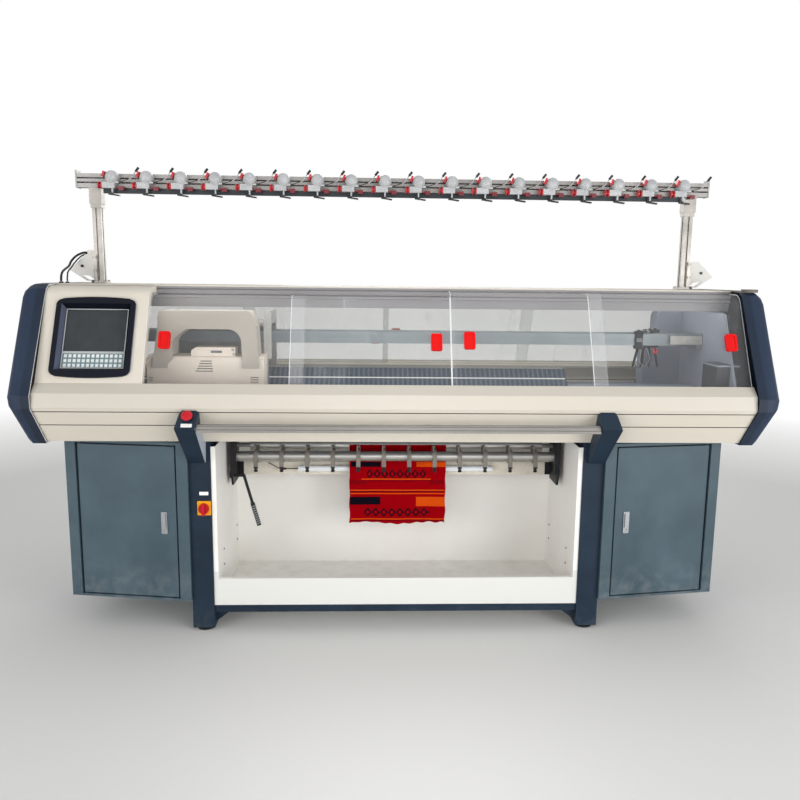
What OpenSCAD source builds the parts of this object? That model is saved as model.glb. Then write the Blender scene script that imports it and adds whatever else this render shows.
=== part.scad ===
/* [Machine body] */
// Length of the body between the two end caps
body_l = 2590; // [2400:10:2800]
// Height of the underside of the body above the floor
body_z = 761; // [740:1:800]
// Height of the body, underside to flat top
body_h = 565; // [550:1:600]
// Reach from the needle gap to the front nose
front_reach = 463; // [450:1:480]
// Reach from the needle gap to the rear nose
rear_reach = 492; // [480:1:520]
// Height of the nose crease above the underside
crease_h = 144; // [130:1:155]
// Height of the nose bend above the underside
bend_h = 194; // [185:1:205]
// Height of the door sill above the underside
sill_h = 226; // [215:1:240]
// How far the sill lies back from the nose
sill_back = 43; // [35:1:55]
// How far the bend lies back from the nose
bend_back = 8; // [4:1:14]
// How far the lower edge lies back from the nose
chin_back = 120; // [100:1:130]
// Lean of the doors from upright, degrees
door_lean = 25; // [22:0.5:28]
// Radius of the rounded top edge of the covers
top_r = 60; // [40:1:80]
// Wall of the grooved body boards
board_t = 8; // [6:0.5:12]
// Depth of the dark grooves between the boards
groove_d = 4; // [2:0.5:5]
// Height of the dark grooves between the boards
groove_w = 4; // [3:0.5:6]
// Width of the shelf that carries the two door tracks
shelf_w = 46; // [42:1:60]
// Depth of the top beam's webs below the flat top
web_d = 75; // [56:1:84]

/* [End caps] */
// Thickness of each end cap along the machine
cap_t = 80; // [60:1:100]
// How far the caps stand proud of the boards
cap_proud = 8; // [4:1:12]
// How far the cap's outer face is set in from its rim
cap_taper = 34; // [20:1:44]
// Thickness of the straight rim before the taper starts
cap_rim = 50; // [40:1:56]
// Wall of the moulded caps
cap_wall = 5; // [3:0.5:8]

/* [Doors and covers] */
// Thickness of the clear door sheets
door_t = 4; // [3:0.5:6]
// Depth of the outer door below the cover surface
outer_door_off = 6; // [4:1:8]
// Spacing of the inner door track behind the outer one
track_step = 20; // [19:1:24]
// Clearance of a door in its track, each side
track_gap = 0.5; // [0.3:0.1:1]
// Depth of the door tracks
track_d = 7; // [5:1:9]
// Place along the machine where the two front doors meet
door_meet_x = 195; // [150:1:240]
// Right edge of the fixed control cover
control_edge_x = -920; // [-930:1:-890]
// Sheet of the control cover
cover_t = 4; // [3:0.5:6]
// Travel of each sliding door
door_travel = 1000; // [600:10:1040]
// Width of a red door handle
handle_w = 42; // [34:1:50]
// Height of a red door handle
handle_h = 66; // [50:1:80]
// How far a door handle stands proud of its door
handle_t = 12; // [8:1:13]
// Distance of the handle's centre from the door edge
handle_in = 60; // [50:1:80]
// Height of the handle's centre up the door
handle_v = 172; // [150:1:200]
// Place of the joint strip on the left front door
left_strip_x = -378; // [-420:1:-340]
// Place of the joint strip on the right front door
right_strip_x = 734; // [700:1:770]
// Width of the joint strips
strip_w = 52; // [40:1:60]

/* [Control panel] */
// Width of the dark screen bezel
bezel_w = 285; // [270:1:300]
// Height of the dark screen bezel along the cover
bezel_h = 309; // [290:1:316]
// Centre of the bezel along the machine
bezel_x = -1107; // [-1120:1:-1090]
// Height of the bezel's centre up the cover
bezel_v = 173; // [166:1:177]
// How far the bezel stands proud of the cover
bezel_proud = 7; // [4:1:10]
// Depth of the screen below the cover surface
screen_deep = 22; // [15:1:30]
// Width of the framed screen and keypad
screen_w = 226; // [200:1:230]
// Height of the framed screen and keypad
screen_h = 232; // [210:1:240]
// Height of the keypad below the screen
keypad_h = 62; // [50:1:80]
// Number of keys in a row of the keypad
key_columns = 13; // [10:1:15]
// Number of rows on the keypad
key_rows = 3; // [2:1:4]

/* [Stand] */
// Distance of each leg's centre from the middle
leg_x = 750; // [720:1:780]
// Width of the legs
leg_w = 83; // [70:1:90]
// Depth of the legs
leg_d = 80; // [60:1:100]
// Front face of the front legs from the needle gap
leg_front = 315; // [300:1:330]
// Rear face of the rear legs from the needle gap
leg_rear = 344; // [330:1:360]
// Wall of the leg tubes
leg_wall = 5; // [4:0.5:8]
// Clear height of the legs above the floor
leg_z = 14; // [10:1:30]
// Underside of the bottom beams above the floor
beam_z = 74; // [60:1:90]
// Height of the bottom beams
beam_h = 30; // [25:1:40]
// Depth of the bottom beams
beam_d = 60; // [40:1:70]
// Leg of the gussets at the feet
gusset = 58; // [40:1:60]
// Diameter of the levelling feet
foot_dia = 66; // [50:1:78]

/* [Needle beds] */
// Length of the needle beds
bed_l = 1400; // [1340:10:1460]
// Height of the needle gap above the underside of the body
bed_top_h = 239; // [230:1:245]
// Width of the gap that the fabric falls through
needle_gap = 10; // [6:1:14]
// Length of each bed down its slope
bed_slope_l = 170; // [150:1:180]
// Thickness of each bed
bed_t = 24; // [20:1:28]
// Number of ribs shown along each bed
trick_count = 70; // [40:1:100]
// Height of the ribs
trick_h = 6; // [4:0.5:8]
// Plate that the bed castings stand on
deck_t = 20; // [16:1:25]
// Width of the slot through the deck and castings
slot_w = 60; // [56:1:70]

/* [Carriage] */
// Centre of the carriage along the machine, parked at the left
carriage_x = -730; // [-740:1:-700]
// Length of the carriage
carriage_l = 420; // [390:1:430]
// Length of the moulded carriage cover
carriage_cover_l = 440; // [400:1:450]
// Height of the carriage cover's top above the needle gap
carriage_cover_h = 70; // [60:1:76]
// Reach of the carriage cover in front of the needle gap
carriage_reach = 240; // [225:1:260]
// Length of the moulded bow along the machine
bow_l = 399; // [370:1:410]
// Height of the bow's top above the needle gap
bow_h = 239; // [230:1:246]
// Travel of the carriage
carriage_travel = 1560; // [1200:10:1580]
// Width of the hardened guide rails
guide_w = 24; // [16:1:28]
// Height of the hardened guide rails
guide_h = 26; // [20:1:30]
// Running gap under the carriage
run_gap = 0.5; // [0.3:0.1:1]
// Height of the yarn rails above the needle gap
yarn_rail_h = 106; // [96:1:110]
// Height of a yarn rail
rail_bar_h = 46; // [40:1:50]
// Thickness of a yarn rail
rail_bar_t = 10; // [8:1:12]
// Spacing of the yarn rails
rail_pitch = 36; // [34:1:40]
// Place of the first parked yarn feeder
feeder_x = 985; // [960:1:990]
// Spacing of the parked yarn feeders
feeder_pitch = 36; // [30:1:38]
// Radius of the belt pulleys
pulley_r = 40; // [30:1:50]
// Width of the drive belt
belt_w = 28; // [20:1:34]
// Thickness of the drive belt
belt_t = 4; // [3:0.5:5]
// Distance of the drive motor's end from the rear nose
motor_clear = 103; // [90:1:120]
// Distance of the belt from the lip of the rear casting
belt_clear = 26; // [24:1:30]
// Distance of the belt pulleys from the middle
pulley_x = 1180; // [1150:1:1200]

/* [Take-down] */
// Radius of the main take-down roller
roller_r = 30; // [25:1:32]
// Length of the main take-down roller
roller_l = 1220; // [1150:10:1240]
// Drop of the main roller's axis below the body
roller_drop = 90; // [85:1:100]
// Radius of the pressure shaft
shaft_r = 20; // [16:0.5:22]
// Drop of the pressure shaft's axis below the body
shaft_drop = 118; // [110:1:125]
// Distance of the pressure shaft in front of the needle gap
shaft_y = -76; // [-80:1:-72]
// Number of pressure arms
arm_count = 12; // [8:1:13]
// Spacing of the pressure arms
arm_pitch = 104; // [95:1:106]
// Width of one pressure arm
arm_w = 17; // [12:1:22]
// Distance of each take-down bracket from the middle
bracket_x = 664; // [650:1:668]
// How far the take-down brackets hang below the body
bracket_drop = 236; // [220:1:250]
// Diameter of the lamp tube
lamp_dia = 24; // [16:1:26]
// Drop of the lamp's axis below the body
lamp_drop = 190; // [180:1:200]
// Drop of the release lever's axis below the body
lever_drop = 198; // [190:1:204]
// Length of the release lever below its axis
lever_l = 206; // [160:1:230]
// Length of the lamp tube
lamp_l = 820; // [700:10:900]
// Thickness of the knitted piece
knit_t = 2.4; // [1.5:0.1:3.5]
// Width of the knitted piece
knit_w = 400; // [300:10:500]
// Length of the knitted piece, from the rollers down
knit_l = 340; // [250:10:420]

/* [Fabric bin] */
// Height of the bin's front lip
bin_lip_h = 108; // [80:1:130]
// Sheet of the bin
bin_t = 3; // [2:0.5:5]
// Gap between the bin's top and the body
bin_gap = 27; // [20:1:40]
// Distance of the bin's rear wall behind the needle gap
bin_rear_y = 153; // [140:1:170]
// Width of the flange round the bin's front
bin_flange = 18; // [12:1:20]

/* [Side cabinets] */
// Width of each cabinet
cabinet_w = 476; // [440:1:490]
// Underside of the cabinets above the floor
cabinet_z = 128; // [110:1:170]
// Front inner edge of the cabinets from the needle gap
cabinet_front = 330; // [320:1:340]
// Depth of the cabinets
cabinet_d = 580; // [500:1:620]
// Turn of the cabinets' front panels, degrees
cabinet_turn = 8.5; // [5:0.5:10]
// Wall of the cabinets
cabinet_wall = 3; // [2:0.5:5]
// Width of the fixed column beside each cabinet door
column_w = 50; // [40:1:60]
// Width of the frame on the outer side of each cabinet door
cab_frame_w = 46; // [30:1:60]
// Drop of the door latches below the body
latch_drop = 322; // [250:1:400]
// Thickness of the cabinet doors
cab_door_t = 18; // [14:1:22]
// Gap round the cabinet doors
cab_door_gap = 6; // [3:0.5:8]

/* [Arms and start bar] */
// Width of the cowled arms
cowl_w = 72; // [64:1:80]
// Distance of each arm's upper end from the middle
cowl_x = 748; // [745:1:750]
// How far the arms lean outward at their front corner
cowl_lean = 9; // [0:1:10]
// Height of the arms' upper end above the underside
cowl_head_h = 136; // [128:1:140]
// Height of the arms' front corner above the underside
cowl_corner_h = 79; // [74:1:90]
// How far the arms reach below the underside
cowl_drop = 85; // [60:1:100]
// How far the arms stand in front of the nose
cowl_proud = 37; // [32:1:45]
// Height of the start bar
bar_h = 26; // [22:1:32]
// Height of the start bar's axis above the underside
bar_rise = 76; // [70:1:80]
// Diameter of the emergency button
estop_dia = 40; // [30:1:44]
// Diameter of the main switch knob
knob_dia = 40; // [34:1:44]
// Height of the main switch above the floor
switch_z = 497; // [450:1:560]

/* [Yarn stand] */
// Length of the yarn beam
yarn_beam_l = 2652; // [2500:1:2700]
// Height of the yarn beam's underside above the body
yarn_beam_lift = 396; // [370:1:410]
// Height of the yarn beam
yarn_beam_h = 56; // [50:1:70]
// Depth of the yarn beam
yarn_beam_d = 45; // [40:1:50]
// Front face of the yarn beam behind the needle gap
yarn_beam_y = 156; // [140:1:165]
// Distance of each post from the middle
post_x = 1250; // [1220:1:1254]
// Width of the posts
post_w = 36; // [34:1:40]
// Number of yarn stop units on the beam
stop_count = 18; // [10:1:18]
// Spacing of the yarn stop units
stop_pitch = 140; // [130:1:141]
// Height of a yarn stop unit's centre above the beam's underside
stop_h = 40; // [30:1:44]
// Radius of a yarn stop unit's dome
stop_r = 27; // [20:1:28]

/* [Hidden] */
$fn = 48;

// Small clearance between parts that only rest on or run past each other
seat = 0.3;
// Overlap that makes two shapes of one piece a single solid
weld = 1;
steps = 8;

cream = [0.88, 0.85, 0.80];
navy = [0.14, 0.17, 0.24];
slate = [0.28, 0.36, 0.43];
leg_blue = [0.15, 0.21, 0.28];
white = [0.93, 0.93, 0.92];
steel = [0.72, 0.73, 0.74];
dark = [0.12, 0.12, 0.13];
signal_red = [0.90, 0.05, 0.05];
clear = [0.82, 0.86, 0.88, 0.5];

half_l = body_l / 2;
rear_shift = rear_reach - front_reach;
chin_y = -(front_reach - chin_back);
bend_y = -(front_reach - bend_back);
sill_y = -(front_reach - sill_back);
crease_z = body_z + crease_h;
bend_z = body_z + bend_h;
sill_z = body_z + sill_h;
top_z = body_z + body_h;
deck_z = body_z + board_t + seat;
hang_z = deck_z - seat;
deck_top = deck_z + deck_t;
bed_z = body_z + bed_top_h;
door_end_x = half_l - 3;
cabinet_in_x = leg_x + leg_w / 2 + seat;
bin_floor_z = beam_z + beam_h + seat;
inner_door_off = outer_door_off + track_step;
cowl_reach = front_reach + cowl_proud;
lip_y = 215;
belt_y = lip_y + belt_clear + belt_w / 2;
track_top_y = -176;
web_in = 4;
web_t = 8;
web_low = top_z - web_d;
arc_v = (body_h - sill_h - top_r * (1 - sin(door_lean))) / cos(door_lean);

// Directions and mitred offsets of flat paths
function unit(v) = v / norm(v);
function left_of(v) = [-v[1], v[0]];
function heading(p, i) = unit(p[i + 1] - p[i]);
function mitre(p, i, t) =
    let (a = left_of(heading(p, max(i, 1) - 1)), b = left_of(heading(p, min(i, len(p) - 2))))
    p[i] + (a + b) * t / (1 + a * b);
function beside(p, t) = [for (i = [0 : len(p) - 1]) mitre(p, i, t)];
function reversed(p) = [for (i = [len(p) - 1 : -1 : 0]) p[i]];
function strip(p, t) = concat(p, reversed(beside(p, t)));
function arc(c, r, a0, a1, n) = [for (i = [0 : n]) c + r * [cos(a0 + (a1 - a0) * i / n),
    sin(a0 + (a1 - a0) * i / n)]];

// Point on the front cover: v up the slope from the sill, off below the surface
function on_cover(v, off) = [
    sill_y + v * sin(door_lean) + off * cos(door_lean),
    sill_z + v * cos(door_lean) - off * sin(door_lean)
];
arc_c = on_cover(arc_v, top_r);
function cover_path(v0, off, end_y) = concat(
    [on_cover(v0, off)],
    arc(arc_c, top_r - off, 180 - door_lean, 90, steps),
    [[end_y, top_z - off]]
);
function cover_sheet(v0, off, t, end_y) = concat(cover_path(v0, off, end_y),
    reversed(cover_path(v0, off + t, end_y)));

// Point on the front needle bed: s down its slope, h above its face
function on_bed(s, h) = [-needle_gap / 2 - (s + h) * sin(45), bed_z + (h - s) * sin(45)];

// Extrudes a profile drawn as depth and height along the machine
module along(x0, x1) {
    translate([x0, 0, 0]) rotate([90, 0, 90]) linear_extrude(x1 - x0) children();
}
// Stands a shape on the front cover, its local Z pointing outward
module on_front(x, v, off = 0) {
    p = on_cover(v, off);
    translate([x, p[0], p[1]]) rotate([90 - door_lean, 0, 0]) children();
}
// Mirrors a right-hand shape to the left when s is negative
module on_side(s) {
    mirror([s < 0 ? 1 : 0, 0, 0]) children();
}
// Mirrors a front shape to the deeper rear side
module to_rear() {
    translate([0, rear_shift, 0]) mirror([0, 1, 0]) children();
}
module rounded_plate(w, h, t, r) {
    translate([-w / 2 + r, -h / 2, 0]) cube([w - 2 * r, h, t]);
    translate([-w / 2, -h / 2 + r, 0]) cube([w, h - 2 * r, t]);
    for (sx = [-1, 1], sy = [-1, 1])
        translate([sx * (w / 2 - r), sy * (h / 2 - r), 0]) cylinder(r = r, h = t);
}
module screw_head(d) {
    difference() {
        cylinder(d = d, h = d * 0.4);
        translate([0, 0, d * 0.2]) cylinder(d = d * 0.5, h = d, $fn = 6);
    }
}

// The stand: two leg frames joined by low beams
foot_stem = 20;
module leg_post(y) {
    difference() {
        translate([-leg_w / 2, y, leg_z]) cube([leg_w, leg_d, hang_z - leg_z]);
        translate([-leg_w / 2 + leg_wall, y + leg_wall, leg_z + leg_wall])
            cube([leg_w - 2 * leg_wall, leg_d - 2 * leg_wall, hang_z - leg_z - 2 * leg_wall]);
    }
}
module leg_frame() {
    tie_y = -leg_front + leg_d - weld;
    tie_l = leg_front + leg_rear - 2 * leg_d + 2 * weld;
    difference() {
        union() {
            leg_post(-leg_front);
            leg_post(leg_rear - leg_d);
            translate([-leg_w / 2 + 8, tie_y, beam_z]) cube([leg_w - 16, tie_l, beam_h * 2]);
            translate([-leg_w / 2 + 8, tie_y, hang_z - 60]) cube([leg_w - 16, tie_l, 60]);
        }
        for (y = [-leg_front + leg_d / 2, leg_rear - leg_d / 2])
            translate([0, y, leg_z - weld]) cylinder(d = foot_stem, h = leg_wall + 2 * weld);
    }
}
module left_leg_frame() {
    color(leg_blue) translate([-leg_x, 0, 0]) leg_frame();
}
module right_leg_frame() {
    color(leg_blue) translate([leg_x, 0, 0]) leg_frame();
}
module bottom_beams() {
    inner = leg_x - leg_w / 2 - seat;
    color(leg_blue) for (y = [-leg_front + 8, leg_rear - 8 - beam_d]) {
        difference() {
            translate([-inner, y, beam_z]) cube([2 * inner, beam_d, beam_h]);
            translate([-inner - weld, y + 5, beam_z + 5])
                cube([2 * inner + 2 * weld, beam_d - 10, beam_h - 10]);
        }
        for (s = [-1, 1]) on_side(s) translate([inner, y + beam_d / 2 + 4, 0]) rotate([90, 0, 0])
            linear_extrude(8) polygon([
                [0, beam_z + weld], [-gusset, beam_z + weld], [-gusset, beam_z - 4], [0, leg_z + 12]
            ]);
    }
}
module levelling_feet() {
    color(dark) for (s = [-1, 1], y = [-leg_front + leg_d / 2, leg_rear - leg_d / 2])
        translate([s * leg_x, y, 0]) rotate_extrude() polygon([
            [0, 0], [foot_dia / 2, 0], [foot_dia / 2, 6], [foot_dia / 2 - 8, 10], [14, leg_z - seat],
            [foot_stem / 2 - seat, leg_z - seat], [foot_stem / 2 - seat, leg_z + 40], [0, leg_z + 40]
        ]);
}

// The rigid bed frame: deck, two bed castings, lips and end plates
lip_z = bed_z - 150;
end_plate_x = half_l - 40;
end_plate_t = 10;
module bed_half() {
    top = on_bed(bed_slope_l, -bed_t);
    inner_y = -slot_w / 2;
    inner_z = top[1] + (inner_y - top[0]);
    along(-end_plate_x, end_plate_x) polygon([
        [inner_y, deck_top - weld], [inner_y, inner_z], top, [-lip_y, top[1]], [-lip_y, lip_z - 30],
        [-lip_y + 40, lip_z - 50], [-lip_y + 40, deck_top - weld]
    ]);
}
module bed_frame() {
    color(dark) {
        difference() {
            union() {
                translate([-end_plate_x, chin_y + 12, deck_z])
                    cube([2 * end_plate_x, -2 * chin_y - 24 + rear_shift, deck_t]);
                bed_half();
                mirror([0, 1, 0]) bed_half();
            }
            translate([-bed_l / 2, -slot_w / 2, deck_z - weld])
                cube([bed_l, slot_w, deck_t + 2 * weld]);
        }
        for (s = [-1, 1]) on_side(s) end_plate();
        idler_bracket();
        service_box();
        drive_guard(guard_low_x, guard_low_z);
        drive_guard(guard_high_x, guard_high_z);
    }
}
// Box at the right end and the stepped guard over the drive wheel
service_x = 1195;
service_y = -330;
service_d = 125;
module service_box() {
    translate([service_x, service_y, deck_top - weld])
        cube([half_l - 12 - service_x, service_d, bed_z + 58 - deck_top]);
    translate([service_x - 2, service_y - 2, bed_z + 50]) cube([half_l - 12 - service_x, service_d + 4, 6]);
}
guard_d = 80;
guard_y = belt_y - belt_w / 2 - 11 - guard_d;
guard_z = bed_z - 105;
guard_low_x = 1085;
guard_low_z = bed_z + 100;
guard_high_x = 1135;
guard_high_z = web_low - 6;
guard_r = 34;
module drive_guard(x0, z1) {
    translate([0, guard_y + guard_d, 0]) rotate([90, 0, 0]) linear_extrude(guard_d) polygon(concat(
        [[end_plate_x - end_plate_t + weld, guard_z]], [[end_plate_x - end_plate_t + weld, z1]],
        arc([x0 + guard_r, z1 - guard_r], guard_r, 90, 180, steps), [[x0, guard_z]]
    ));
}
module idler_bracket() {
    translate([-pulley_x - 30, bearer_y, deck_top - weld]) cube([60, 12, pulley_z - deck_top + 30]);
    translate([-pulley_x, bearer_y + weld, pulley_z]) rotate([90, 0, 0])
        cylinder(r = shaft_bore - seat, h = belt_w + 21);
}
module end_plate() {
    front = concat(
        [[chin_y + 12, deck_z], [-front_reach + 20, crease_z], [bend_y + 14, bend_z],
            on_cover(-12 - seat, 30)],
        [on_cover(-12 - seat, shelf_w + seat), on_cover(arc_v - 30, 52),
            [track_top_y - 20, web_low - seat], [-120, web_low - seat]]
    );
    rear = [for (p = reversed(front)) [rear_shift - p[0], p[1]]];
    along(end_plate_x - end_plate_t, end_plate_x) polygon(concat(front, rear));
}

// Body boards with two dark grooves, and the shelf with two door tracks
chin = [chin_y, body_z];
crease = [-front_reach, crease_z];
module board_groove(t) {
    p = chin + (crease - chin) * t;
    a = atan2(crease[1] - chin[1], crease[0] - chin[0]);
    translate(p) rotate(a) translate([-groove_w / 2, -groove_d]) square([groove_w, groove_d + 1]);
}
module fascia_profile(low_groove, high_groove, leg_y) {
    difference() {
        union() {
            polygon(strip([
                [leg_y - seat, body_z], chin, crease, [bend_y, bend_z], [sill_y, sill_z]
            ], -board_t));
            polygon([
                on_cover(0, 0), on_cover(0, shelf_w), on_cover(-12, shelf_w), on_cover(-12, 3)
            ]);
        }
        board_groove(low_groove);
        board_groove(high_groove);
        for (off = [outer_door_off, inner_door_off]) polygon([
            on_cover(1, off - track_gap), on_cover(1, off + door_t + track_gap),
            on_cover(-track_d, off + door_t + track_gap), on_cover(-track_d, off - track_gap)
        ]);
    }
}
module front_fascia() {
    color(cream) along(-half_l, half_l) fascia_profile(0.5, 0.889, -leg_front);
}
module rear_fascia() {
    color(cream) to_rear() along(-half_l, half_l) fascia_profile(0.5, 0.889, rear_shift - leg_rear);
}
module top_beam() {
    rear_y = rear_shift - track_top_y;
    color(cream) along(-half_l, half_l) difference() {
        polygon([
            [track_top_y - track_d, top_z + 6], [track_top_y - track_d, top_z - 40],
            [track_top_y + web_in, top_z - 42], [track_top_y + web_in, web_low],
            [track_top_y + web_in + web_t, web_low], [track_top_y + web_in + web_t, top_z - 45],
            [rear_y - web_in - web_t, top_z - 45], [rear_y - web_in - web_t, web_low],
            [rear_y - web_in, web_low], [rear_y - web_in, top_z - 42],
            [rear_y + track_d, top_z - 40], [rear_y + track_d, top_z + 6]
        ]);
        polygon([
            [track_top_y + 16, top_z], [track_top_y + 30, top_z - 39], [rear_y - 30, top_z - 39],
                [rear_y - 16, top_z]
        ]);
        for (off = [outer_door_off, inner_door_off]) {
            translate([track_top_y - track_d - 1, top_z - off - door_t - track_gap])
                square([track_d + 2, door_t + 2 * track_gap]);
            translate([rear_y - 1, top_z - off - door_t - track_gap])
                square([track_d + 2, door_t + 2 * track_gap]);
        }
    }
}

// Moulded end caps: a straight rim that rounds over to a smaller outer face
cap_share = [1.7, 0.6, 0.4, 0.2, 0.2, 0.4, 0.9, 1];
function cap_outline(grow, taper) = let (
    p = [
        [chin_y, body_z], [-front_reach, crease_z], [-front_reach, bend_z - 10], on_cover(0, 0),
        on_cover(arc_v - 10, 0), arc_c + top_r * [cos(135), sin(135)], arc_c + top_r * [cos(108), sin(108)],
        [track_top_y, top_z]
    ],
    q = [for (a = reversed(p)) [rear_shift - a[0], a[1]]],
    share = concat(cap_share, [for (i = [len(cap_share) - 1 : -1 : 0]) cap_share[i]]),
    ring = concat(p, q),
    n = len(ring)
) [for (i = [0 : n - 1]) let (
    a = left_of(unit(ring[i] - ring[(i + n - 1) % n])),
    b = left_of(unit(ring[(i + 1) % n] - ring[i]))
) ring[i] + (a + b) * (grow - taper * share[i]) / (1 + a * b)];
module cap_shell(grow, short) {
    outer = cap_t - short;
    knee = cap_rim + (cap_t - cap_rim) * 0.55 - short;
    hull() {
        along(0, cap_rim - short) polygon(cap_outline(grow, 0));
        along(knee, knee + 1) polygon(cap_outline(grow, cap_taper * 0.25));
        along(outer - 1, outer) polygon(cap_outline(grow, cap_taper));
    }
}
module end_cap() {
    difference() {
        translate([half_l, 0, 0]) cap_shell(cap_proud, 0);
        translate([half_l - weld, 0, 0]) cap_shell(cap_proud - cap_wall, cap_wall);
    }
}
lamp_disc_r = 30;
lamp_disc_x = cap_rim - 4;
lamp_disc_y = -236;
lamp_disc_t = 12;
module left_end_cap() {
    color(navy) {
        mirror([1, 0, 0]) end_cap();
        for (k = [0, 1]) let (end = cable_routes[k][len(cable_routes[k]) - 1])
            translate([end[0], end[1], top_z + cap_proud - weld]) cylinder(r = cable_r[k] + 4, h = 5.8);
    }
}
module right_end_cap() {
    color(navy) {
        end_cap();
        translate([half_l + lamp_disc_x, lamp_disc_y, top_z]) {
            translate([0, 0, -7]) cylinder(r = 14, h = 10);
            translate([0, 0, 1]) cylinder(r = lamp_disc_r, h = lamp_disc_t);
        }
    }
}

// Control cover, its bezel, display and keypad
module control_cover() {
    end_y = track_top_y - track_d - seat;
    color(cream) difference() {
        union() {
            along(-half_l, control_edge_x) polygon(cover_sheet(seat, 0, cover_t, end_y));
            along(control_edge_x - cover_t, control_edge_x)
                polygon(cover_sheet(seat, cover_t - 0.5, inner_door_off - cover_t - 2.5, end_y));
        }
        on_front(bezel_x, bezel_v, cover_t + 1) translate([-bezel_w / 2 + 12, -bezel_h / 2 + 14, 0])
            cube([bezel_w - 24, bezel_h - 28, cover_t + 2]);
    }
}
function bowed(w, h, bow) = let (r = (w * w / 4 + bow * bow) / (2 * bow), a = asin(w / 2 / r)) concat(
    arc([0, h / 2 - r], r, 90 + a, 90 - a, steps * 2),
    arc([0, -h / 2 + r], r, -90 + a, -90 - a, steps * 2)
);
module screen_bezel() {
    lip = 12;
    color(navy) on_front(bezel_x, bezel_v, -seat) difference() {
        union() {
            linear_extrude(bezel_proud) intersection() {
                polygon(bowed(bezel_w, bezel_h, 9));
                union() {
                    square([bezel_w - 44, bezel_h], center = true);
                    square([bezel_w, bezel_h - 62], center = true);
                    for (sx = [-1, 1], sy = [-1, 1])
                        translate([sx * (bezel_w / 2 - 22), sy * (bezel_h / 2 - 31)])
                        circle(r = 22);
                }
            }
            translate([-bezel_w / 2 + lip + seat, -bezel_h / 2 + 14 + seat, -screen_deep - 6])
                cube([bezel_w - 2 * (lip + seat), bezel_h - 28 - 2 * seat, screen_deep + 6 + weld]);
        }
        translate([0, 2, -screen_deep]) linear_extrude(bezel_proud + screen_deep + 1, scale = [1.1, 1.1],
            slices = 1)
            square([screen_w, screen_h], center = true);
        translate([-screen_w / 2 + 4, -screen_h / 2 + 6, -screen_deep - 7])
            cube([screen_w - 8, screen_h - 8, 10]);
    }
}
frame_line = 5;
module display() {
    h = screen_h - keypad_h;
    color(dark) on_front(bezel_x, bezel_v, screen_deep) translate([0, 2 + keypad_h / 2, -seat]) {
        difference() {
            translate([-screen_w / 2 + 1, -h / 2 + 0.5, 0.6]) cube([screen_w - 2, h - 1.5, 5]);
            translate([-screen_w / 2 + 1 + frame_line, -h / 2 + 0.5 + frame_line, 4])
                cube([screen_w - 2 - 2 * frame_line, h - 1.5 - 2 * frame_line, 3]);
        }
    }
}
module keypad() {
    key_w = 10.5;
    key_h = 12;
    step_x = (screen_w - 14) / key_columns;
    step_y = (keypad_h - 8) / key_rows;
    color(steel) on_front(bezel_x, bezel_v, screen_deep) translate([0, 2 - screen_h / 2, -seat]) {
        translate([-screen_w / 2 + 1, 1, 0.6]) cube([screen_w - 2, keypad_h - 1.5, 4]);
        for (i = [0 : key_columns - 1], j = [0 : key_rows - 1])
            translate([(i - (key_columns - 1) / 2) * step_x - key_w / 2,
                4 + (j + 0.5) * step_y - key_h / 2, 4])
                cube([key_w, key_h, 1.6]);
    }
}

// Clear sliding doors and their red handles
module door_sheet(x0, x1, off, strip_x) {
    along(x0, x1) polygon(cover_sheet(-track_d + seat, off, door_t, track_top_y));
    along(strip_x - strip_w / 2, strip_x + strip_w / 2)
        polygon(cover_sheet(3, off + door_t - 0.2, 2.2, track_top_y - track_d - 2));
}
module door_handle(x, off) {
    on_front(x, handle_v, off - 0.1) difference() {
        rounded_plate(handle_w, handle_h, handle_t, 8);
        translate([0, 0, handle_t - 3]) rounded_plate(handle_w - 14, handle_h - 16, 4, 5);
    }
}
left_door_x0 = control_edge_x + 1;
left_door_x1 = door_meet_x + 14;
right_door_x0 = door_meet_x - 8;
module front_door_left() {
    color(clear) door_sheet(left_door_x0, left_door_x1, inner_door_off, left_strip_x);
}
module front_door_right() {
    color(clear) door_sheet(right_door_x0, door_end_x, outer_door_off, right_strip_x);
}
module left_door_handles() {
    color(signal_red) {
        door_handle(left_door_x0 + handle_in, inner_door_off);
        door_handle(door_meet_x - handle_in, inner_door_off);
    }
}
module right_door_handles() {
    color(signal_red) {
        door_handle(door_meet_x + handle_in, outer_door_off);
        door_handle(door_end_x - handle_in, outer_door_off);
    }
}
module rear_door(x0, x1, off, strip_x) {
    to_rear() {
        door_sheet(x0, x1, off, strip_x);
        for (x = [x0 + handle_in, x1 - handle_in]) on_front(x, handle_v - 40, off + weld)
            rounded_plate(handle_w, handle_h, handle_t + weld, 8);
    }
}
rear_meet_x = -40;
module rear_door_left() {
    color(clear) rear_door(-door_end_x, rear_meet_x + 12, inner_door_off, left_strip_x - 270);
}
module rear_door_right() {
    color(clear) rear_door(rear_meet_x - 12, door_end_x, outer_door_off, right_strip_x - 130);
}

// Needle beds: a sloped plate under a comb of needle ribs
module needle_bed() {
    under = on_bed(bed_slope_l, -bed_t + seat);
    gap_y = -needle_gap / 2;
    pitch = bed_l / trick_count;
    along(-bed_l / 2, bed_l / 2) polygon([
        on_bed(0, 0), on_bed(bed_slope_l, 0), under, [gap_y, under[1] + (gap_y - under[0])]
    ]);
    p = on_bed(4, -weld);
    translate([0, p[0], p[1]]) rotate([135, 0, 0]) linear_extrude(bed_slope_l - 8) polygon(concat(
        [[bed_l / 2 - pitch * 0.6, 0]], [[-bed_l / 2, 0]],
        [for (i = [0 : trick_count - 1], k = [0 : 3]) [
            -bed_l / 2 + i * pitch + (k > 1 ? pitch * 0.4 : 0),
            -(k == 0 || k == 3 ? weld : weld + trick_h)
        ]]
    ));
}
module front_needle_bed() {
    color(slate) needle_bed();
}
module rear_needle_bed() {
    color(slate) mirror([0, 1, 0]) needle_bed();
}

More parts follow.
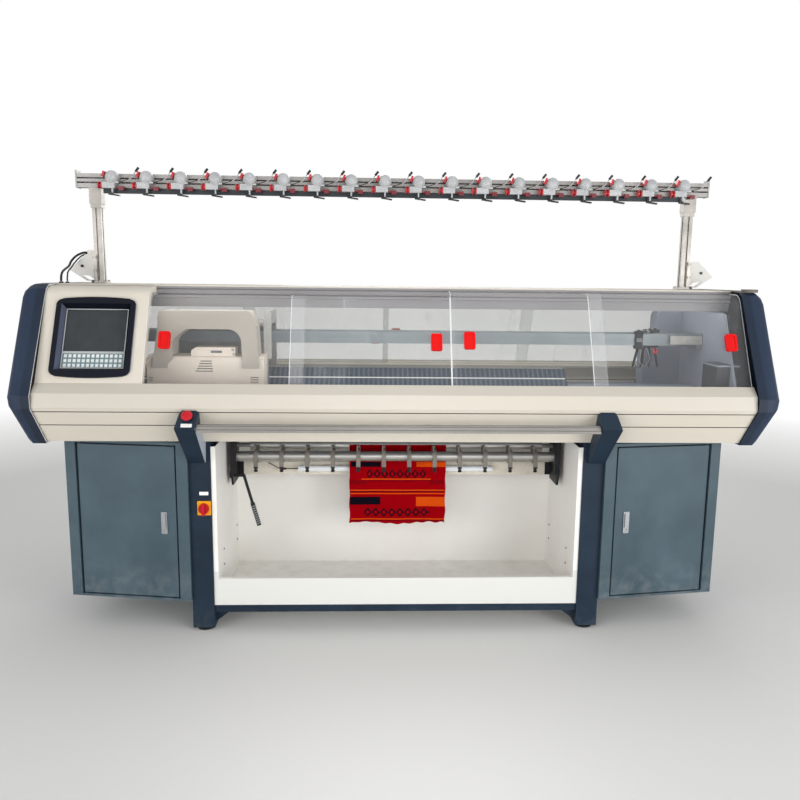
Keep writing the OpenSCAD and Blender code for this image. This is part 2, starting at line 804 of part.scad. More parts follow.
// Rails for the carriage and for the yarn feeders
guide_y = lip_y - 22;
guide_base = on_bed(bed_slope_l, -bed_t)[1];
module carriage_rails() {
    color(steel) for (s = [-1, 1]) translate([-end_plate_x + end_plate_t, s * guide_y - guide_w / 2,
        guide_base])
        difference() {
            cube([2 * (end_plate_x - end_plate_t), guide_w, guide_h]);
            for (i = [0 : 24]) translate([50 + i * (2 * end_plate_x - 120) / 24, guide_w / 2, guide_h - 6])
                cylinder(d = 12, h = 7, $fn = 24);
        }
}
rail_z = bed_z + yarn_rail_h;
rail_y = [for (i = [-1.5 : 1 : 1.5]) i * rail_pitch];
module yarn_rails() {
    rail_half = end_plate_x - end_plate_t - seat;
    color(steel) {
        for (y = rail_y) along(-rail_half, rail_half) translate([y - rail_bar_t / 2, rail_z]) difference() {
            square([rail_bar_t, rail_bar_h]);
            for (x = [-1, rail_bar_t - 2]) translate([x, rail_bar_h / 2 - 4]) square([3, 8]);
        }
        for (s = [-1, 1]) on_side(s) translate([rail_half - 20, rail_y[0] - 14, rail_z - 12])
            cube([20, rail_pitch * 3 + 28, rail_bar_h + 16]);
    }
}

// Carriage: cam boxes on both beds, joined by end arches over the yarn rails
arch_top = rail_z + rail_bar_h + 79;
arch_in = rail_z + rail_bar_h + 25;
car_x0 = carriage_x - carriage_l / 2;
car_x1 = carriage_x + carriage_l / 2;
module cam_half() {
    top = guide_base + guide_h;
    h0 = trick_h + 3;
    along(car_x0, car_x1) polygon([
        on_bed(18, h0), on_bed(18, h0 + 34), on_bed(70, h0 + 34), [-150, bed_z - 62],
            [-lip_y + 2, bed_z - 68],
        [-lip_y + 2, top - 14], [-guide_y - guide_w / 2 - run_gap, top - 14],
        [-guide_y - guide_w / 2 - run_gap, top + run_gap], [-guide_y + guide_w / 2 + run_gap, top + run_gap],
        [-guide_y + guide_w / 2 + run_gap, top - 8], on_bed(bed_slope_l + 8, h0)
    ]);
}
arch_y = 150;
arch_t = 14;
arch_inset = 10;
module end_arch(x) {
    along(x, x + arch_t) difference() {
        polygon([
            [-arch_y, bed_z - 75], [-arch_y, arch_top - 18], [-arch_y + 18, arch_top],
            [arch_y - 18, arch_top], [arch_y, arch_top - 18], [arch_y, bed_z - 75]
        ]);
        polygon([
            [-arch_y + 34, bed_z - 90], [-arch_y + 34, arch_in - 14], [-arch_y + 48, arch_in],
            [arch_y - 48, arch_in], [arch_y - 34, arch_in - 14], [arch_y - 34, bed_z - 90]
        ]);
    }
}
module carriage() {
    color(steel) {
        cam_half();
        mirror([0, 1, 0]) cam_half();
        end_arch(car_x0 + arch_inset);
        end_arch(car_x1 - 4);
        translate([car_x0 + arch_inset, -arch_y + 20, arch_in])
            cube([carriage_l - arch_inset, 2 * arch_y - 40, 12]);
        translate([car_x0 + arch_inset, arch_y - 34, bed_z - 60])
            cube([carriage_l - arch_inset, 10, arch_in - bed_z + 61]);
        translate([car_x1 - 4 + arch_t - weld, -arch_y, bed_z + 50]) cube([17, 6, arch_top - bed_z - 51]);
        translate([carriage_x - 30, lip_y - 6, bed_z - 84]) cube([60, belt_y + belt_w / 2 - lip_y + 6, 10]);
        translate([carriage_x - 30, belt_y - belt_w / 2, belt_top + seat])
            cube([60, belt_w, bed_z - 80 - belt_top - seat]);
    }
}
// Housing over the front cams, open below, with a raised box on its top
cover_x0 = carriage_x - 2 - carriage_cover_l / 2;
cover_low_z = bed_z - 52;
cover_top_z = bed_z + carriage_cover_h;
cover_front_z = cover_top_z - 4;
box_x = [-58, 108];
box_chamfer = 18;
box_top_z = cover_top_z + 30;
cover_sheet_t = 4;
vent_h = 3.5;
module vent(x0, x1, z) {
    translate([x0, -carriage_reach - 8, z - vent_h / 2]) cube([x1 - x0, 16, vent_h]);
}
module carriage_cover() {
    front = [
        [-carriage_reach - 4, cover_low_z], [-carriage_reach, cover_front_z - 5],
            [-carriage_reach + 5, cover_front_z],
        [-arch_y - seat, cover_top_z]
    ];
    color(cream) {
        difference() {
            along(cover_x0, cover_x0 + carriage_cover_l) polygon(strip(front, -cover_sheet_t));
            for (i = [0 : 4]) vent(carriage_x - 20 - i * 5, carriage_x + 22 + i, bed_z + 49 - i * 9.5);
            for (i = [0 : 1]) vent(cover_x0 + 6, cover_x0 + 23, bed_z - 15 - i * 9);
            for (i = [0 : 2]) vent(cover_x0 + carriage_cover_l - 52, cover_x0 + carriage_cover_l - 21,
                bed_z - 12 - i * 9);
        }
        for (x = [cover_x0, cover_x0 + carriage_cover_l - cover_sheet_t]) along(x, x + cover_sheet_t)
            polygon(concat(front, [[-arch_y - seat, cover_low_z]]));
        translate([carriage_x, -arch_y - 15, 0]) rotate([90, 0, 0]) linear_extrude(60) polygon([
            [box_x[0], cover_front_z], [box_x[0], cover_front_z + 22], [box_x[0] + box_chamfer, box_top_z],
            [box_x[1], box_top_z], [box_x[1], cover_front_z]
        ]);
    }
}
// Open bow that bridges the housing, hollow from behind
bow_depth = 102;
bow_low_z = bed_z + 23;
bow_wall = 5;
module bow_outline() {
    w = bow_l / 2;
    top = bed_z + bow_h;
    difference() {
        polygon(concat(
            [[-w, bow_low_z]], [[-w + 28, top - 44]], arc([-w + 46, top - 16], 16, 165, 90, 4),
            arc([w - 40, top - 16], 16, 90, 15, 4), [[w - 8, top - 56]], [[w, bow_low_z]]
        ));
        polygon(concat(
            [[-w + 56, bow_low_z - 1]], [[-w + 58, bow_low_z + 14]], [[-w + 77, bow_low_z + 35]],
                [[-w + 79, bow_low_z + 98]],
            [[-w + 90, bow_low_z + 116]], [[-w + 130, bow_low_z + 147]],
                arc([w - 112, bow_low_z + 99], 48, 90, 10, 5),
            [[w - 62, bow_low_z + 48]], [[w - 64, bow_low_z - 1]]
        ));
    }
}
module carriage_bow() {
    base = cover_top_z + seat;
    lip = -carriage_reach - 4 - seat;
    color(cream) translate([carriage_x, 0, 0]) difference() {
        intersection() {
            translate([0, -arch_y - seat, 0]) rotate([90, 0, 0]) linear_extrude(bow_depth) bow_outline();
            along(-bow_l / 2, bow_l / 2) polygon([
                [-arch_y, base], [-arch_y, top_z], [-arch_y - bow_depth - 1, top_z],
                    [-arch_y - bow_depth - 1, bow_low_z],
                [lip, bow_low_z], [lip, base]
            ]);
        }
        translate([0, -arch_y, 0]) rotate([90, 0, 0]) linear_extrude(bow_depth - bow_wall) intersection() {
            offset(delta = -bow_wall) bow_outline();
            translate([-bow_l / 2, base + bow_wall]) square([bow_l, bow_h]);
        }
    }
}

// Yarn feeders: a slider on each rail with a stem down to the needle gap
feeder_w = 30;
tip_pitch = 4;
tip_r = 1.5;
module yarn_feeder(i) {
    y = rail_y[i];
    x = feeder_x + i * feeder_pitch;
    tip_y = y * tip_pitch / rail_pitch;
    color(dark) {
        difference() {
            translate([x - feeder_w / 2, y - 13, rail_z - 14]) cube([feeder_w, 26, rail_bar_h + 26]);
            translate([x - feeder_w, y - rail_bar_t / 2 - run_gap, rail_z - run_gap])
                cube([2 * feeder_w, rail_bar_t + 2 * run_gap, rail_bar_h + 2 * run_gap]);
        }
        along(x - 4, x + 4) polygon([
            [y - 6, rail_z - 13], [y + 6, rail_z - 13], [tip_y + tip_r, bed_z + 14],
                [tip_y - tip_r, bed_z + 14]
        ]);
        translate([x, tip_y, bed_z + 9]) cylinder(r = tip_r - 0.1, h = 8, $fn = 24);
        translate([x, y, rail_z + rail_bar_h + 8]) cylinder(d = 12, h = 10);
    }
}
module yarn_feeder_1() {
    yarn_feeder(0);
}
module yarn_feeder_2() {
    yarn_feeder(1);
}
module yarn_feeder_3() {
    yarn_feeder(2);
}
module yarn_feeder_4() {
    yarn_feeder(3);
}

// Belt drive behind the rear bed
shaft_bore = 10;
bearer_y = belt_y + belt_w / 2 + 14;
pulley_z = bed_z - 84 - pulley_r - belt_t - 6;
belt_top = pulley_z + pulley_r + belt_t;
module belt_loop(r) {
    for (s = [-1, 1]) translate([s * pulley_x, 0, pulley_z]) rotate([90, 0, 0])
        cylinder(r = r, h = belt_w, center = true, $fn = 64);
    translate([-pulley_x, -belt_w / 2, pulley_z - r]) cube([2 * pulley_x, belt_w, 2 * r]);
}
module drive_belt() {
    color(dark) translate([0, belt_y, 0]) difference() {
        belt_loop(pulley_r + belt_t);
        for (s = [-1, 1]) translate([s * pulley_x, 0, pulley_z]) rotate([90, 0, 0])
            cylinder(r = pulley_r, h = belt_w + 2, center = true, $fn = 64);
        translate([-pulley_x, -belt_w / 2 - 1, pulley_z - pulley_r])
            cube([2 * pulley_x, belt_w + 2, 2 * pulley_r]);
    }
}
module pulley(x) {
    color(steel) translate([x, belt_y, pulley_z]) rotate([90, 0, 0]) difference() {
        union() {
            cylinder(r = pulley_r - seat, h = belt_w, center = true);
            for (s = [-1, 1]) translate([0, 0, s * (belt_w / 2 + 2.2)])
                cylinder(r = pulley_r + belt_t + 2, h = 3, center = true);
            cylinder(r = 16, h = belt_w + 14, center = true);
        }
        cylinder(r = shaft_bore, h = 2 * belt_w, center = true);
        for (a = [0 : 60 : 300]) rotate(a) translate([pulley_r * 0.66, 0, 0])
            cylinder(r = 6, h = 2 * belt_w, center = true, $fn = 24);
    }
}
module drive_pulley() {
    pulley(pulley_x);
}
module idler_pulley() {
    pulley(-pulley_x);
}
motor_r = 58;
motor_l = rear_reach - motor_clear - bearer_y - 10;
module drive_motor() {
    color(dark) {
        translate([pulley_x, bearer_y, pulley_z]) rotate([-90, 0, 0]) {
            translate([0, 0, -belt_w - 20]) cylinder(r = shaft_bore - seat, h = belt_w + 21);
            cylinder(r = motor_r, h = 12);
            translate([0, 0, 10]) cylinder(r = motor_r - 6, h = motor_l);
            for (i = [0 : 5]) translate([0, 0, 10 + (i + 1) * motor_l / 7]) cylinder(r = motor_r - 1, h = 5);
        }
        translate([pulley_x - motor_r, bearer_y, deck_top + seat])
            cube([2 * motor_r, 12, pulley_z - deck_top]);
        translate([pulley_x - motor_r, bearer_y, deck_top + seat]) cube([2 * motor_r, motor_l - 16, 10]);
    }
}

// Take-down: main roller, pressure shaft with its arms, brackets, lever and lamp
roller_y = 6;
roller_z = body_z - roller_drop;
shaft_z = body_z - shaft_drop;
knit_y = roller_y - roller_r - seat - knit_t;
wheel_r = 7;
arm_x0 = -572;
journal_r = 9;
module takedown_roller() {
    color(steel) translate([5, roller_y, roller_z]) rotate([0, 90, 0]) {
        cylinder(r = roller_r, h = roller_l, center = true, $fn = 64);
        translate([0, 0, -5]) cylinder(r = journal_r, h = 2 * bracket_x + 6, center = true);
    }
}
module pressure_shaft() {
    color(steel) translate([0, shaft_y, shaft_z]) rotate([0, 90, 0]) {
        cylinder(r = shaft_r, h = 2 * bracket_x - 10, center = true, $fn = 64);
        cylinder(r = journal_r, h = 2 * bracket_x + 6, center = true);
    }
}
module pressure_arm() {
    wheel_y = knit_y - seat - wheel_r;
    ring_r = shaft_r + 8;
    translate([0, shaft_y, shaft_z]) rotate([0, 90, 0]) difference() {
        union() {
            cylinder(r = ring_r, h = arm_w, center = true);
            rotate(118) translate([ring_r - 7, -7, -arm_w / 2]) cube([23, 13, arm_w]);
        }
        cylinder(r = shaft_r + seat, h = arm_w + 2, center = true, $fn = 64);
    }
    translate([-arm_w / 2, shaft_y - ring_r, shaft_z - 46]) cube([arm_w, 7.5, 50]);
    translate([0, shaft_y - ring_r + 5, shaft_z - 58]) cylinder(d = 9, h = 14);
    translate([0, shaft_y - ring_r + 5, shaft_z - 60]) cylinder(d = 15, h = 9);
    translate([-arm_w / 2 + 2, shaft_y - 12, shaft_z + 20]) cube([4, 20, 26]);
    translate([-arm_w / 2 + 2, shaft_y + 6, shaft_z + 25]) cube([4, wheel_y - shaft_y - 4, 10]);
    translate([0, wheel_y, shaft_z + 30]) rotate([0, 90, 0])
        cylinder(r = wheel_r, h = arm_w - 3, center = true);
}
module pressure_arms() {
    color([0.55, 0.54, 0.52]) for (i = [0 : arm_count - 1])
        translate([arm_x0 + i * arm_pitch, 0, 0]) pressure_arm();
}
plate_y = 24;
bracket_lip = 15;
module takedown_frame() {
    low = body_z - bracket_drop;
    color(dark) {
        for (s = [-1, 1]) on_side(s) difference() {
            union() {
                along(bracket_x, bracket_x + 8) polygon([
                    [shaft_y - 34, hang_z], [shaft_y - 34, low + 50], [shaft_y - 14, low],
                        [plate_y + 6, low],
                    [plate_y + 30, low + 50], [plate_y + 30, hang_z]
                ]);
                translate([bracket_x - bracket_lip, shaft_y - 34, low + 50])
                    cube([bracket_lip + 8, 6, hang_z - low - 50]);
                translate([bracket_x - bracket_lip, shaft_y - 34, hang_z - 8])
                    cube([bracket_lip + 30, 90, 8]);
            }
            translate([0, roller_y, roller_z]) rotate([0, 90, 0])
                cylinder(r = journal_r + seat, h = 2 * bracket_x);
            translate([0, shaft_y, shaft_z]) rotate([0, 90, 0])
                cylinder(r = journal_r + seat, h = 2 * bracket_x);
            translate([0, lever_y, lever_z]) rotate([0, 90, 0])
                cylinder(r = lever_r + seat, h = 2 * bracket_x);
        }
        translate([-bracket_x, plate_y, lamp_z - 30]) cube([2 * bracket_x, 4, 54]);
        for (x = [-lamp_l / 2 + 30, lamp_l / 2 - 30]) translate([x - 6, plate_y - 8, lamp_z - 7])
            cube([12, 9, 14]);
    }
}
lever_y = shaft_y - 6;
lever_z = body_z - lever_drop;
lever_r = 6;
lever_out = 16;
lever_in = 41;
lever_end = [-bracket_x + 102, lever_y - 18, lever_z - lever_l];
module rod(a, b, r) {
    d = b - a;
    translate(a) rotate([0, acos(d[2] / norm(d)), atan2(d[1], d[0])]) cylinder(r = r, h = norm(d));
}
module release_lever() {
    bend = [-bracket_x + lever_in, lever_y, lever_z];
    grip = bend + (lever_end - bend) * 0.55;
    color(dark) {
        translate([-bracket_x - lever_out, lever_y, lever_z]) rotate([0, 90, 0]) {
            cylinder(r = lever_r, h = lever_out + lever_in);
            cylinder(r = 11, h = 5);
        }
        translate(bend) sphere(r = lever_r + 1);
        rod(bend, grip + (lever_end - grip) * 0.2, lever_r);
        rod(grip, lever_end, 9);
    }
}
lamp_z = body_z - lamp_drop;
module lamp_tube() {
    y = plate_y - 8 - seat - lamp_dia / 2;
    color(white) translate([0, y, lamp_z]) rotate([0, 90, 0]) {
        cylinder(d = lamp_dia, h = lamp_l - 30, center = true);
        for (s = [-1, 1]) translate([0, 0, s * (lamp_l / 2 - 8)])
            cylinder(d = lamp_dia + 1, h = 16, center = true);
    }
}
module knitted_piece() {
    wave = 3;
    n = 24;
    top = roller_z + 12;
    z0 = top - knit_l;
    right = [for (i = [0 : n]) [knit_w / 2 + 6 + wave * sin(i * 61), z0 + i * knit_l / n]];
    left = [for (i = [n : -1 : 0]) [-knit_w / 2 + 6 + wave * sin(i * 77), z0 + i * knit_l / n]];
    color(signal_red) translate([0, knit_y + knit_t, 0]) rotate([90, 0, 0]) linear_extrude(knit_t)
        polygon(concat(right, left));
}

// White fabric bin between the legs
bin_top = body_z - bin_gap;
bin_half = leg_x - leg_w / 2 - bin_flange;
bin_front = leg_front - 5;
module fabric_bin() {
    color(white) {
        for (s = [-1, 1]) on_side(s) {
            translate([bin_half, -bin_front, bin_floor_z])
                cube([bin_t, bin_front + bin_rear_y, bin_top - bin_floor_z]);
            translate([bin_half, -bin_front, bin_floor_z])
                cube([bin_flange - seat, bin_t, bin_top - bin_floor_z]);
        }
        translate([-bin_half, bin_rear_y - bin_t, bin_floor_z])
            cube([2 * bin_half, bin_t, bin_top - bin_floor_z]);
        translate([-bin_half, -bin_front, bin_floor_z]) cube([2 * bin_half, bin_front + bin_rear_y, bin_t]);
        along(-bin_half - weld, bin_half + weld) polygon(strip([
            [-bin_front, bin_floor_z], [-bin_front, bin_floor_z + bin_lip_h],
            [-bin_front + 18, bin_floor_z + bin_lip_h], [-bin_front + 18, bin_floor_z + bin_lip_h - 14]
        ], -bin_t));
    }
}

// Side cabinets with hinged doors and swing latches, drawn for the right side
cab_top = body_z - 9;
cab_h = cab_top - cabinet_z;
cab_x1 = cabinet_in_x + cabinet_w;
door_x0 = column_w;
door_w = cabinet_w / cos(cabinet_turn) - column_w - cab_frame_w;
door_z0 = cabinet_z + 15;
door_h = cab_h - 32;
pin_r = 4;
latch_u = 46;
latch_z = body_z - latch_drop;
latch_pin_r = 7;
latch_w = 24;
latch_h = 86;
function on_panel(u) = [cabinet_in_x + u * cos(cabinet_turn), -cabinet_front + u * sin(cabinet_turn)];
module on_cabinet(u) {
    p = on_panel(u);
    translate([p[0], p[1], 0]) rotate([0, 0, cabinet_turn]) children();
}
hinge_u = door_x0 + door_w - cab_door_t / 2;
plate_out_of_wall = 28;
drive_count = 4;
drive_pitch = 84;
drive_d = 142;
drive_h = 190;
drive_drop = 140;
module cabinet() {
    back = cabinet_d - cabinet_front;
    outer = on_panel(cabinet_w / cos(cabinet_turn));
    w = cabinet_wall;
    difference() {
        translate([0, 0, cabinet_z]) linear_extrude(cab_h) polygon([
            on_panel(0), outer, [cab_x1, back], [cabinet_in_x, back]
        ]);
        translate([0, 0, cabinet_z + w]) linear_extrude(cab_h - 2 * w) polygon([
            on_panel(w) + [0, cab_door_t + 2 * w], outer + [-w, cab_door_t + 2 * w], [cab_x1 - w, back - w],
            [cabinet_in_x + w, back - w]
        ]);
        on_cabinet(door_x0 - cab_door_gap) translate([0, -10, door_z0 - cab_door_gap])
            cube([door_w + 2 * cab_door_gap, cab_door_t + 11, door_h + 2 * cab_door_gap]);
        on_cabinet(door_x0 + 14) translate([0, 0, door_z0 + 14])
            cube([door_w - 28, cab_door_t + 40, door_h - 28]);
    }
    // Mounting plate and drive modules inside
    plate = back - w - plate_out_of_wall;
    translate([cabinet_in_x + 40, plate - 2, cabinet_z + 60]) cube([cabinet_w - 80, 3, cab_h - 120]);
    for (i = [0 : 1]) translate([cabinet_in_x + 60 + i * (cabinet_w - 180), plate, cabinet_z + 90])
        cube([60, plate_out_of_wall + weld, cab_h - 180]);
    for (i = [0 : drive_count - 1])
        translate([cabinet_in_x + 60 + i * drive_pitch, plate - drive_d, cab_top - drive_drop - drive_h])
            cube([drive_pitch - 16, drive_d, drive_h]);
    translate([cabinet_in_x + 70, plate - drive_d + 20, cabinet_z + 90])
        cube([cabinet_w - 150, drive_d - 20, 120]);
    // Hinge pins
    for (z = [door_z0 - cab_door_gap - weld, door_z0 + door_h - 12]) on_cabinet(hinge_u)
        translate([0, cab_door_t / 2, z]) cylinder(r = pin_r, h = 12 + cab_door_gap + weld);
}
module cabinet_door() {
    on_cabinet(0) difference() {
        union() {
            translate([door_x0, 0, door_z0]) cube([door_w - cab_door_t / 2, cab_door_t, door_h]);
            translate([hinge_u, cab_door_t / 2, door_z0]) cylinder(r = cab_door_t / 2, h = door_h);
        }
        translate([door_x0 + 6, 3, door_z0 + 6]) cube([door_w - 40, cab_door_t, door_h - 12]);
        for (z = [door_z0 - 1, door_z0 + door_h - 12 - cab_door_gap]) translate([hinge_u, cab_door_t / 2, z])
            cylinder(r = pin_r + seat, h = 14 + cab_door_gap);
        translate([door_x0 + latch_u, -1, latch_z]) rotate([-90, 0, 0])
            cylinder(r = latch_pin_r + seat, h = 6);
    }
}
module latch() {
    on_cabinet(door_x0 + latch_u) translate([0, 0, latch_z]) {
        rotate([90, 0, 0]) {
            translate([0, 0, seat]) difference() {
                union() {
                    rounded_plate(latch_w, latch_h, 4, 4);
                    translate([0, 8, 3]) rounded_plate(latch_w - 10, latch_h - 30, 5, 4);
                }
                translate([0, -latch_h / 2 + 14, 2]) cylinder(r = 5, h = 4);
            }
            translate([0, 0, -9]) cylinder(r = latch_pin_r, h = 10);
            translate([-6, -22, -13]) cube([12, 30, 4]);
        }
    }
}
module left_cabinet() {
    color(slate) mirror([1, 0, 0]) cabinet();
}
module right_cabinet() {
    color(slate) cabinet();
}
module left_cabinet_door() {
    color(slate) mirror([1, 0, 0]) cabinet_door();
}
module right_cabinet_door() {
    color(slate) cabinet_door();
}
module left_latch() {
    color(steel) mirror([1, 0, 0]) latch();
}
module right_latch() {
    color(steel) latch();
}

// Cowled arms from the legs round the nose, the start bar, button and switch
function under_board(t, d) = let (u = unit(crease - chin)) chin + (crease - chin) * t + d * left_of(u);
cowl_low = body_z - cowl_drop;
cowl_corner = [-cowl_reach, body_z + cowl_corner_h];
cowl_head = under_board(cowl_head_h / crease_h, seat);
module cowl_profile() {
    polygon([
        cowl_head, cowl_corner, [-leg_front - 14, cowl_low], [-leg_front - seat, cowl_low],
        [-leg_front - seat, body_z - 2], [chin_y - 1, body_z - 2], under_board(0.02, seat)
    ]);
}
module cowl() {
    w = cowl_w / 2;
    head = body_z + cowl_head_h + 2;
    corner = body_z + cowl_corner_h;
    intersection() {
        along(-2 * cowl_w, 2 * cowl_w) cowl_profile();
        rotate([90, 0, 0]) linear_extrude(cowl_reach + 1) polygon([
            [-w + 12, head], [-w + 2, head - 14], [cowl_lean - w, corner], [cowl_lean - w + 4, cowl_low - 1],
            [cowl_lean + w - 5, cowl_low - 1], [cowl_lean + w, corner], [w - 2, head - 14], [w - 12, head]
        ]);
    }
}
bar_y = -(cowl_reach - 24);
bar_z = body_z + bar_rise;
bar_pin_r = 5;
bar_half = cowl_x + cowl_lean - cowl_w / 2 - 3;
module cowl_bore(s) {
    translate([s * (bar_half + 3), bar_y, bar_z]) rotate([0, 90, 0])
        cylinder(r = bar_pin_r + seat, h = 44, center = true);
}
slope_n = -unit(left_of(cowl_corner - cowl_head));
button_c = cowl_head + (cowl_corner - cowl_head) * 0.36;
button_tilt = atan2(slope_n[1], -slope_n[0]);
module on_cowl_top() {
    translate([-cowl_x - 3, button_c[0], button_c[1]]) rotate([90 - button_tilt, 0, 0]) children();
}
stem_r = 8;
module left_arm() {
    color(leg_blue) difference() {
        on_side(-1) translate([cowl_x, 0, 0]) cowl();
        cowl_bore(-1);
        on_cowl_top() translate([0, 0, -26]) cylinder(r = stem_r + seat, h = 32);
    }
}
module right_arm() {
    color(leg_blue) difference() {
        translate([cowl_x, 0, 0]) cowl();
        cowl_bore(1);
    }
}
module start_bar() {
    color(steel) {
        along(-bar_half, bar_half) polygon([
            [bar_y - 14, bar_z - bar_h / 2], [bar_y - 14, bar_z - 4], [bar_y - 10, bar_z - 2],
            [bar_y - 10, bar_z + 8], [bar_y - 5, bar_z + 10], [bar_y - 5, bar_z + bar_h / 2],
            [bar_y + 12, bar_z + bar_h / 2], [bar_y + 12, bar_z - bar_h / 2]
        ]);
        translate([0, bar_y, bar_z]) rotate([0, 90, 0])
            cylinder(r = bar_pin_r, h = 2 * bar_half + 40, center = true);
    }
}
module emergency_button() {
    color(signal_red) on_cowl_top() {
        translate([0, 0, -18]) cylinder(r = stem_r, h = 27);
        translate([0, 0, 8]) rotate_extrude() polygon(concat(
            [[0, 0], [estop_dia / 2 - 4, 0]], arc([estop_dia / 2 - 4, 4], 4, -90, 20, 4),
            arc([0, -estop_dia / 2 - 2], estop_dia - 4.5, 62, 90, 5)
        ));
    }
}
switch_x = -leg_x + 14;
knob_axis_r = 6;
module switch_plate() {
    color([0.95, 0.7, 0.1]) translate([switch_x, -leg_front - seat, switch_z]) rotate([90, 0, 0])
        difference() {
        union() {
            rounded_plate(51, 55, 5, 4);
            cylinder(r = knob_dia / 2 + 3, h = 7);
        }
        translate([0, 0, -1]) cylinder(r = knob_axis_r + seat, h = 12);
    }
}
module switch_knob() {
    color(signal_red) translate([switch_x, -leg_front - seat, switch_z]) rotate([90, 0, 0]) {
        translate([0, 0, 0.5]) cylinder(r = knob_axis_r, h = 8);
        translate([0, 0, 7 + seat]) cylinder(r = knob_dia / 2, h = 9);
        translate([-5, -knob_dia / 2 - 3, 7 + seat]) cube([10, knob_dia + 4, 22]);
    }
}

// Yarn stand over the machine
stand_z = top_z + 6 + seat;
beam_low = top_z + yarn_beam_lift;
strip_half = post_x - post_w / 2 - 16;
module yarn_beam() {
    half = yarn_beam_l / 2;
    color(steel) {
        along(-half + 6, half - 6) translate([yarn_beam_y, beam_low]) difference() {
            square([yarn_beam_d, yarn_beam_h]);
            translate([3, 3]) square([yarn_beam_d - 6, yarn_beam_h - 6]);
            for (z = [yarn_beam_h * 0.3, yarn_beam_h * 0.62]) translate([-1, z]) square([5, 6]);
        }
        for (s = [-1, 1]) on_side(s) translate([half - 6, yarn_beam_y - 2, beam_low - 2])
            cube([6, yarn_beam_d + 4, yarn_beam_h + 15]);
        along(-strip_half, strip_half) translate([yarn_beam_y + 4, beam_low - 22]) square([16, 22 + weld]);
    }
}
plate_out = 121;
gland_x = 1297;
module stand_posts() {
    post_top_z = beam_low - seat;
    y0 = yarn_beam_y + yarn_beam_d - post_w;
    color(steel) for (s = [-1, 1]) on_side(s) {
        translate([post_x, y0 + post_w / 2, 0]) {
            difference() {
                translate([-post_w / 2, -post_w / 2, stand_z]) cube([post_w, post_w, post_top_z - stand_z]);
                for (a = [0 : 90 : 270]) rotate(a) translate([post_w / 2 - 6, -4, stand_z + 12])
                    cube([8, 8, post_top_z - stand_z - 60]);
            }
            translate([-post_w / 2 - 7, -post_w / 2 - 7, post_top_z - 65])
                cube([post_w + 14, post_w + 14, 65]);
            translate([-post_w / 2 - 4, -post_w / 2 - 4, post_top_z - 81])
                cube([post_w + 8, post_w + 8, 17]);
            translate([-post_w / 2 - 12, -post_w / 2 - 14, stand_z]) cube([post_w + 24, post_w + 28, 8]);
            for (sx = [-1, 1], sy = [-1, 1]) translate([sx * (post_w / 2 + 6), sy * (post_w / 2 + 7),
                stand_z + 8])
                screw_head(10);
        }
        translate([post_x, y0 + weld, stand_z]) rotate([90, 0, 0]) linear_extrude(6) difference() {
            polygon([[7, 8], [7, 118], [54, 118], [plate_out, 53], [51, 8]]);
            polygon([[20, 13], [38, 29], [70, 32], [42, 13]]);
        }
        for (p = [[15, 106], [15, 51], [68, 70]])
            translate([post_x + p[0], y0 - 5 + weld, stand_z + p[1]]) rotate([90, 0, 0]) screw_head(12);
    }
    // Gland that the two cables come out of
    color(steel) translate([-gland_x, y0 + 3, stand_z + 114])
        cube([gland_x - post_x - post_w / 2 + weld, 30, 23]);
}
stop_x0 = -(stop_count - 1) * stop_pitch / 2 + 18;
block_x0 = -38;
block_w = 50;
wire_root = [38, -24, -18];
wire_bend = [80, -24, -4];
wire_tip = [99, -24, 23];
bead_end = [112, -24, 39];
wire_r = 1.5;
bead_r = 5;
module stop_units() {
    z = beam_low + stop_h;
    color([0.78, 0.79, 0.8]) for (i = [0 : stop_count - 1])
        translate([stop_x0 + i * stop_pitch, yarn_beam_y, z]) {
        rotate([90, 0, 0]) rotate_extrude() polygon(concat(
            [[0, seat], [stop_r, seat], [stop_r, 20]], arc([0, 20], stop_r, 12, 90, 6)
        ));
        translate([block_x0, -30, -44]) cube([block_w, 30 - seat, 24]);
        translate([-3, -19, -66]) cube([6, 8, 24]);
        translate([-16, -24, -70]) rotate([0, 8, 0]) cube([46, 16, 6]);
        translate([8, -28, -24]) cube([34, 8, 7]);
        rod(wire_root, wire_bend, wire_r);
        rod(wire_bend, wire_tip, wire_r);
        rod(wire_tip, bead_end, bead_r);
    }
}
module stop_caps() {
    z = beam_low + stop_h;
    color(signal_red) for (i = [0 : stop_count - 1]) translate([stop_x0 + i * stop_pitch, yarn_beam_y, z]) {
        rotate([0, -70, 0]) translate([-12, -36, stop_r + seat]) cube([24, 28, 9]);
        for (x = [-56, block_x0 - 5 - seat]) translate([x, -18, -33]) rotate([0, 90, 0])
            cylinder(r = 14, h = 5);
        translate([-56, -18, -33]) rotate([0, 90, 0]) cylinder(r = 6, h = 16);
        translate([28, -26, -52]) cube([20, 20, 16]);
        translate([block_x0 + block_w + seat, -22, -44]) cube([18, 6, 6]);
    }
}
// Cables from the left post down to the end cap: their points are set by hand
cable_routes = [
    [
        [-1297.5, 184, 1458], [-1318, 181, 1457], [-1334, 169, 1449], [-1343, 153, 1439], [-1348, 135, 1427],
        [-1349, 117, 1416], [-1347, 99, 1405], [-1345, 79, 1398], [-1343, 58, 1393], [-1340, 37, 1389],
        [-1337, 16, 1385], [-1334, -5, 1380], [-1331, -24, 1373], [-1328, -42, 1360], [-1327, -48, 1340.5]
    ],
    [
        [-1297.5, 176, 1451], [-1311, 173, 1449], [-1321, 165, 1443], [-1327, 156, 1435], [-1332, 145, 1427],
        [-1336, 135, 1418], [-1339, 123, 1410], [-1340, 112, 1402], [-1340, 99, 1396], [-1338, 86, 1392],
        [-1336, 72, 1389], [-1333, 58, 1386], [-1330, 45, 1383], [-1327, 32, 1380], [-1324, 18, 1376],
        [-1321, 5, 1371], [-1317, -6, 1364], [-1315, -16, 1354], [-1314, -19, 1340.5]
    ]
];
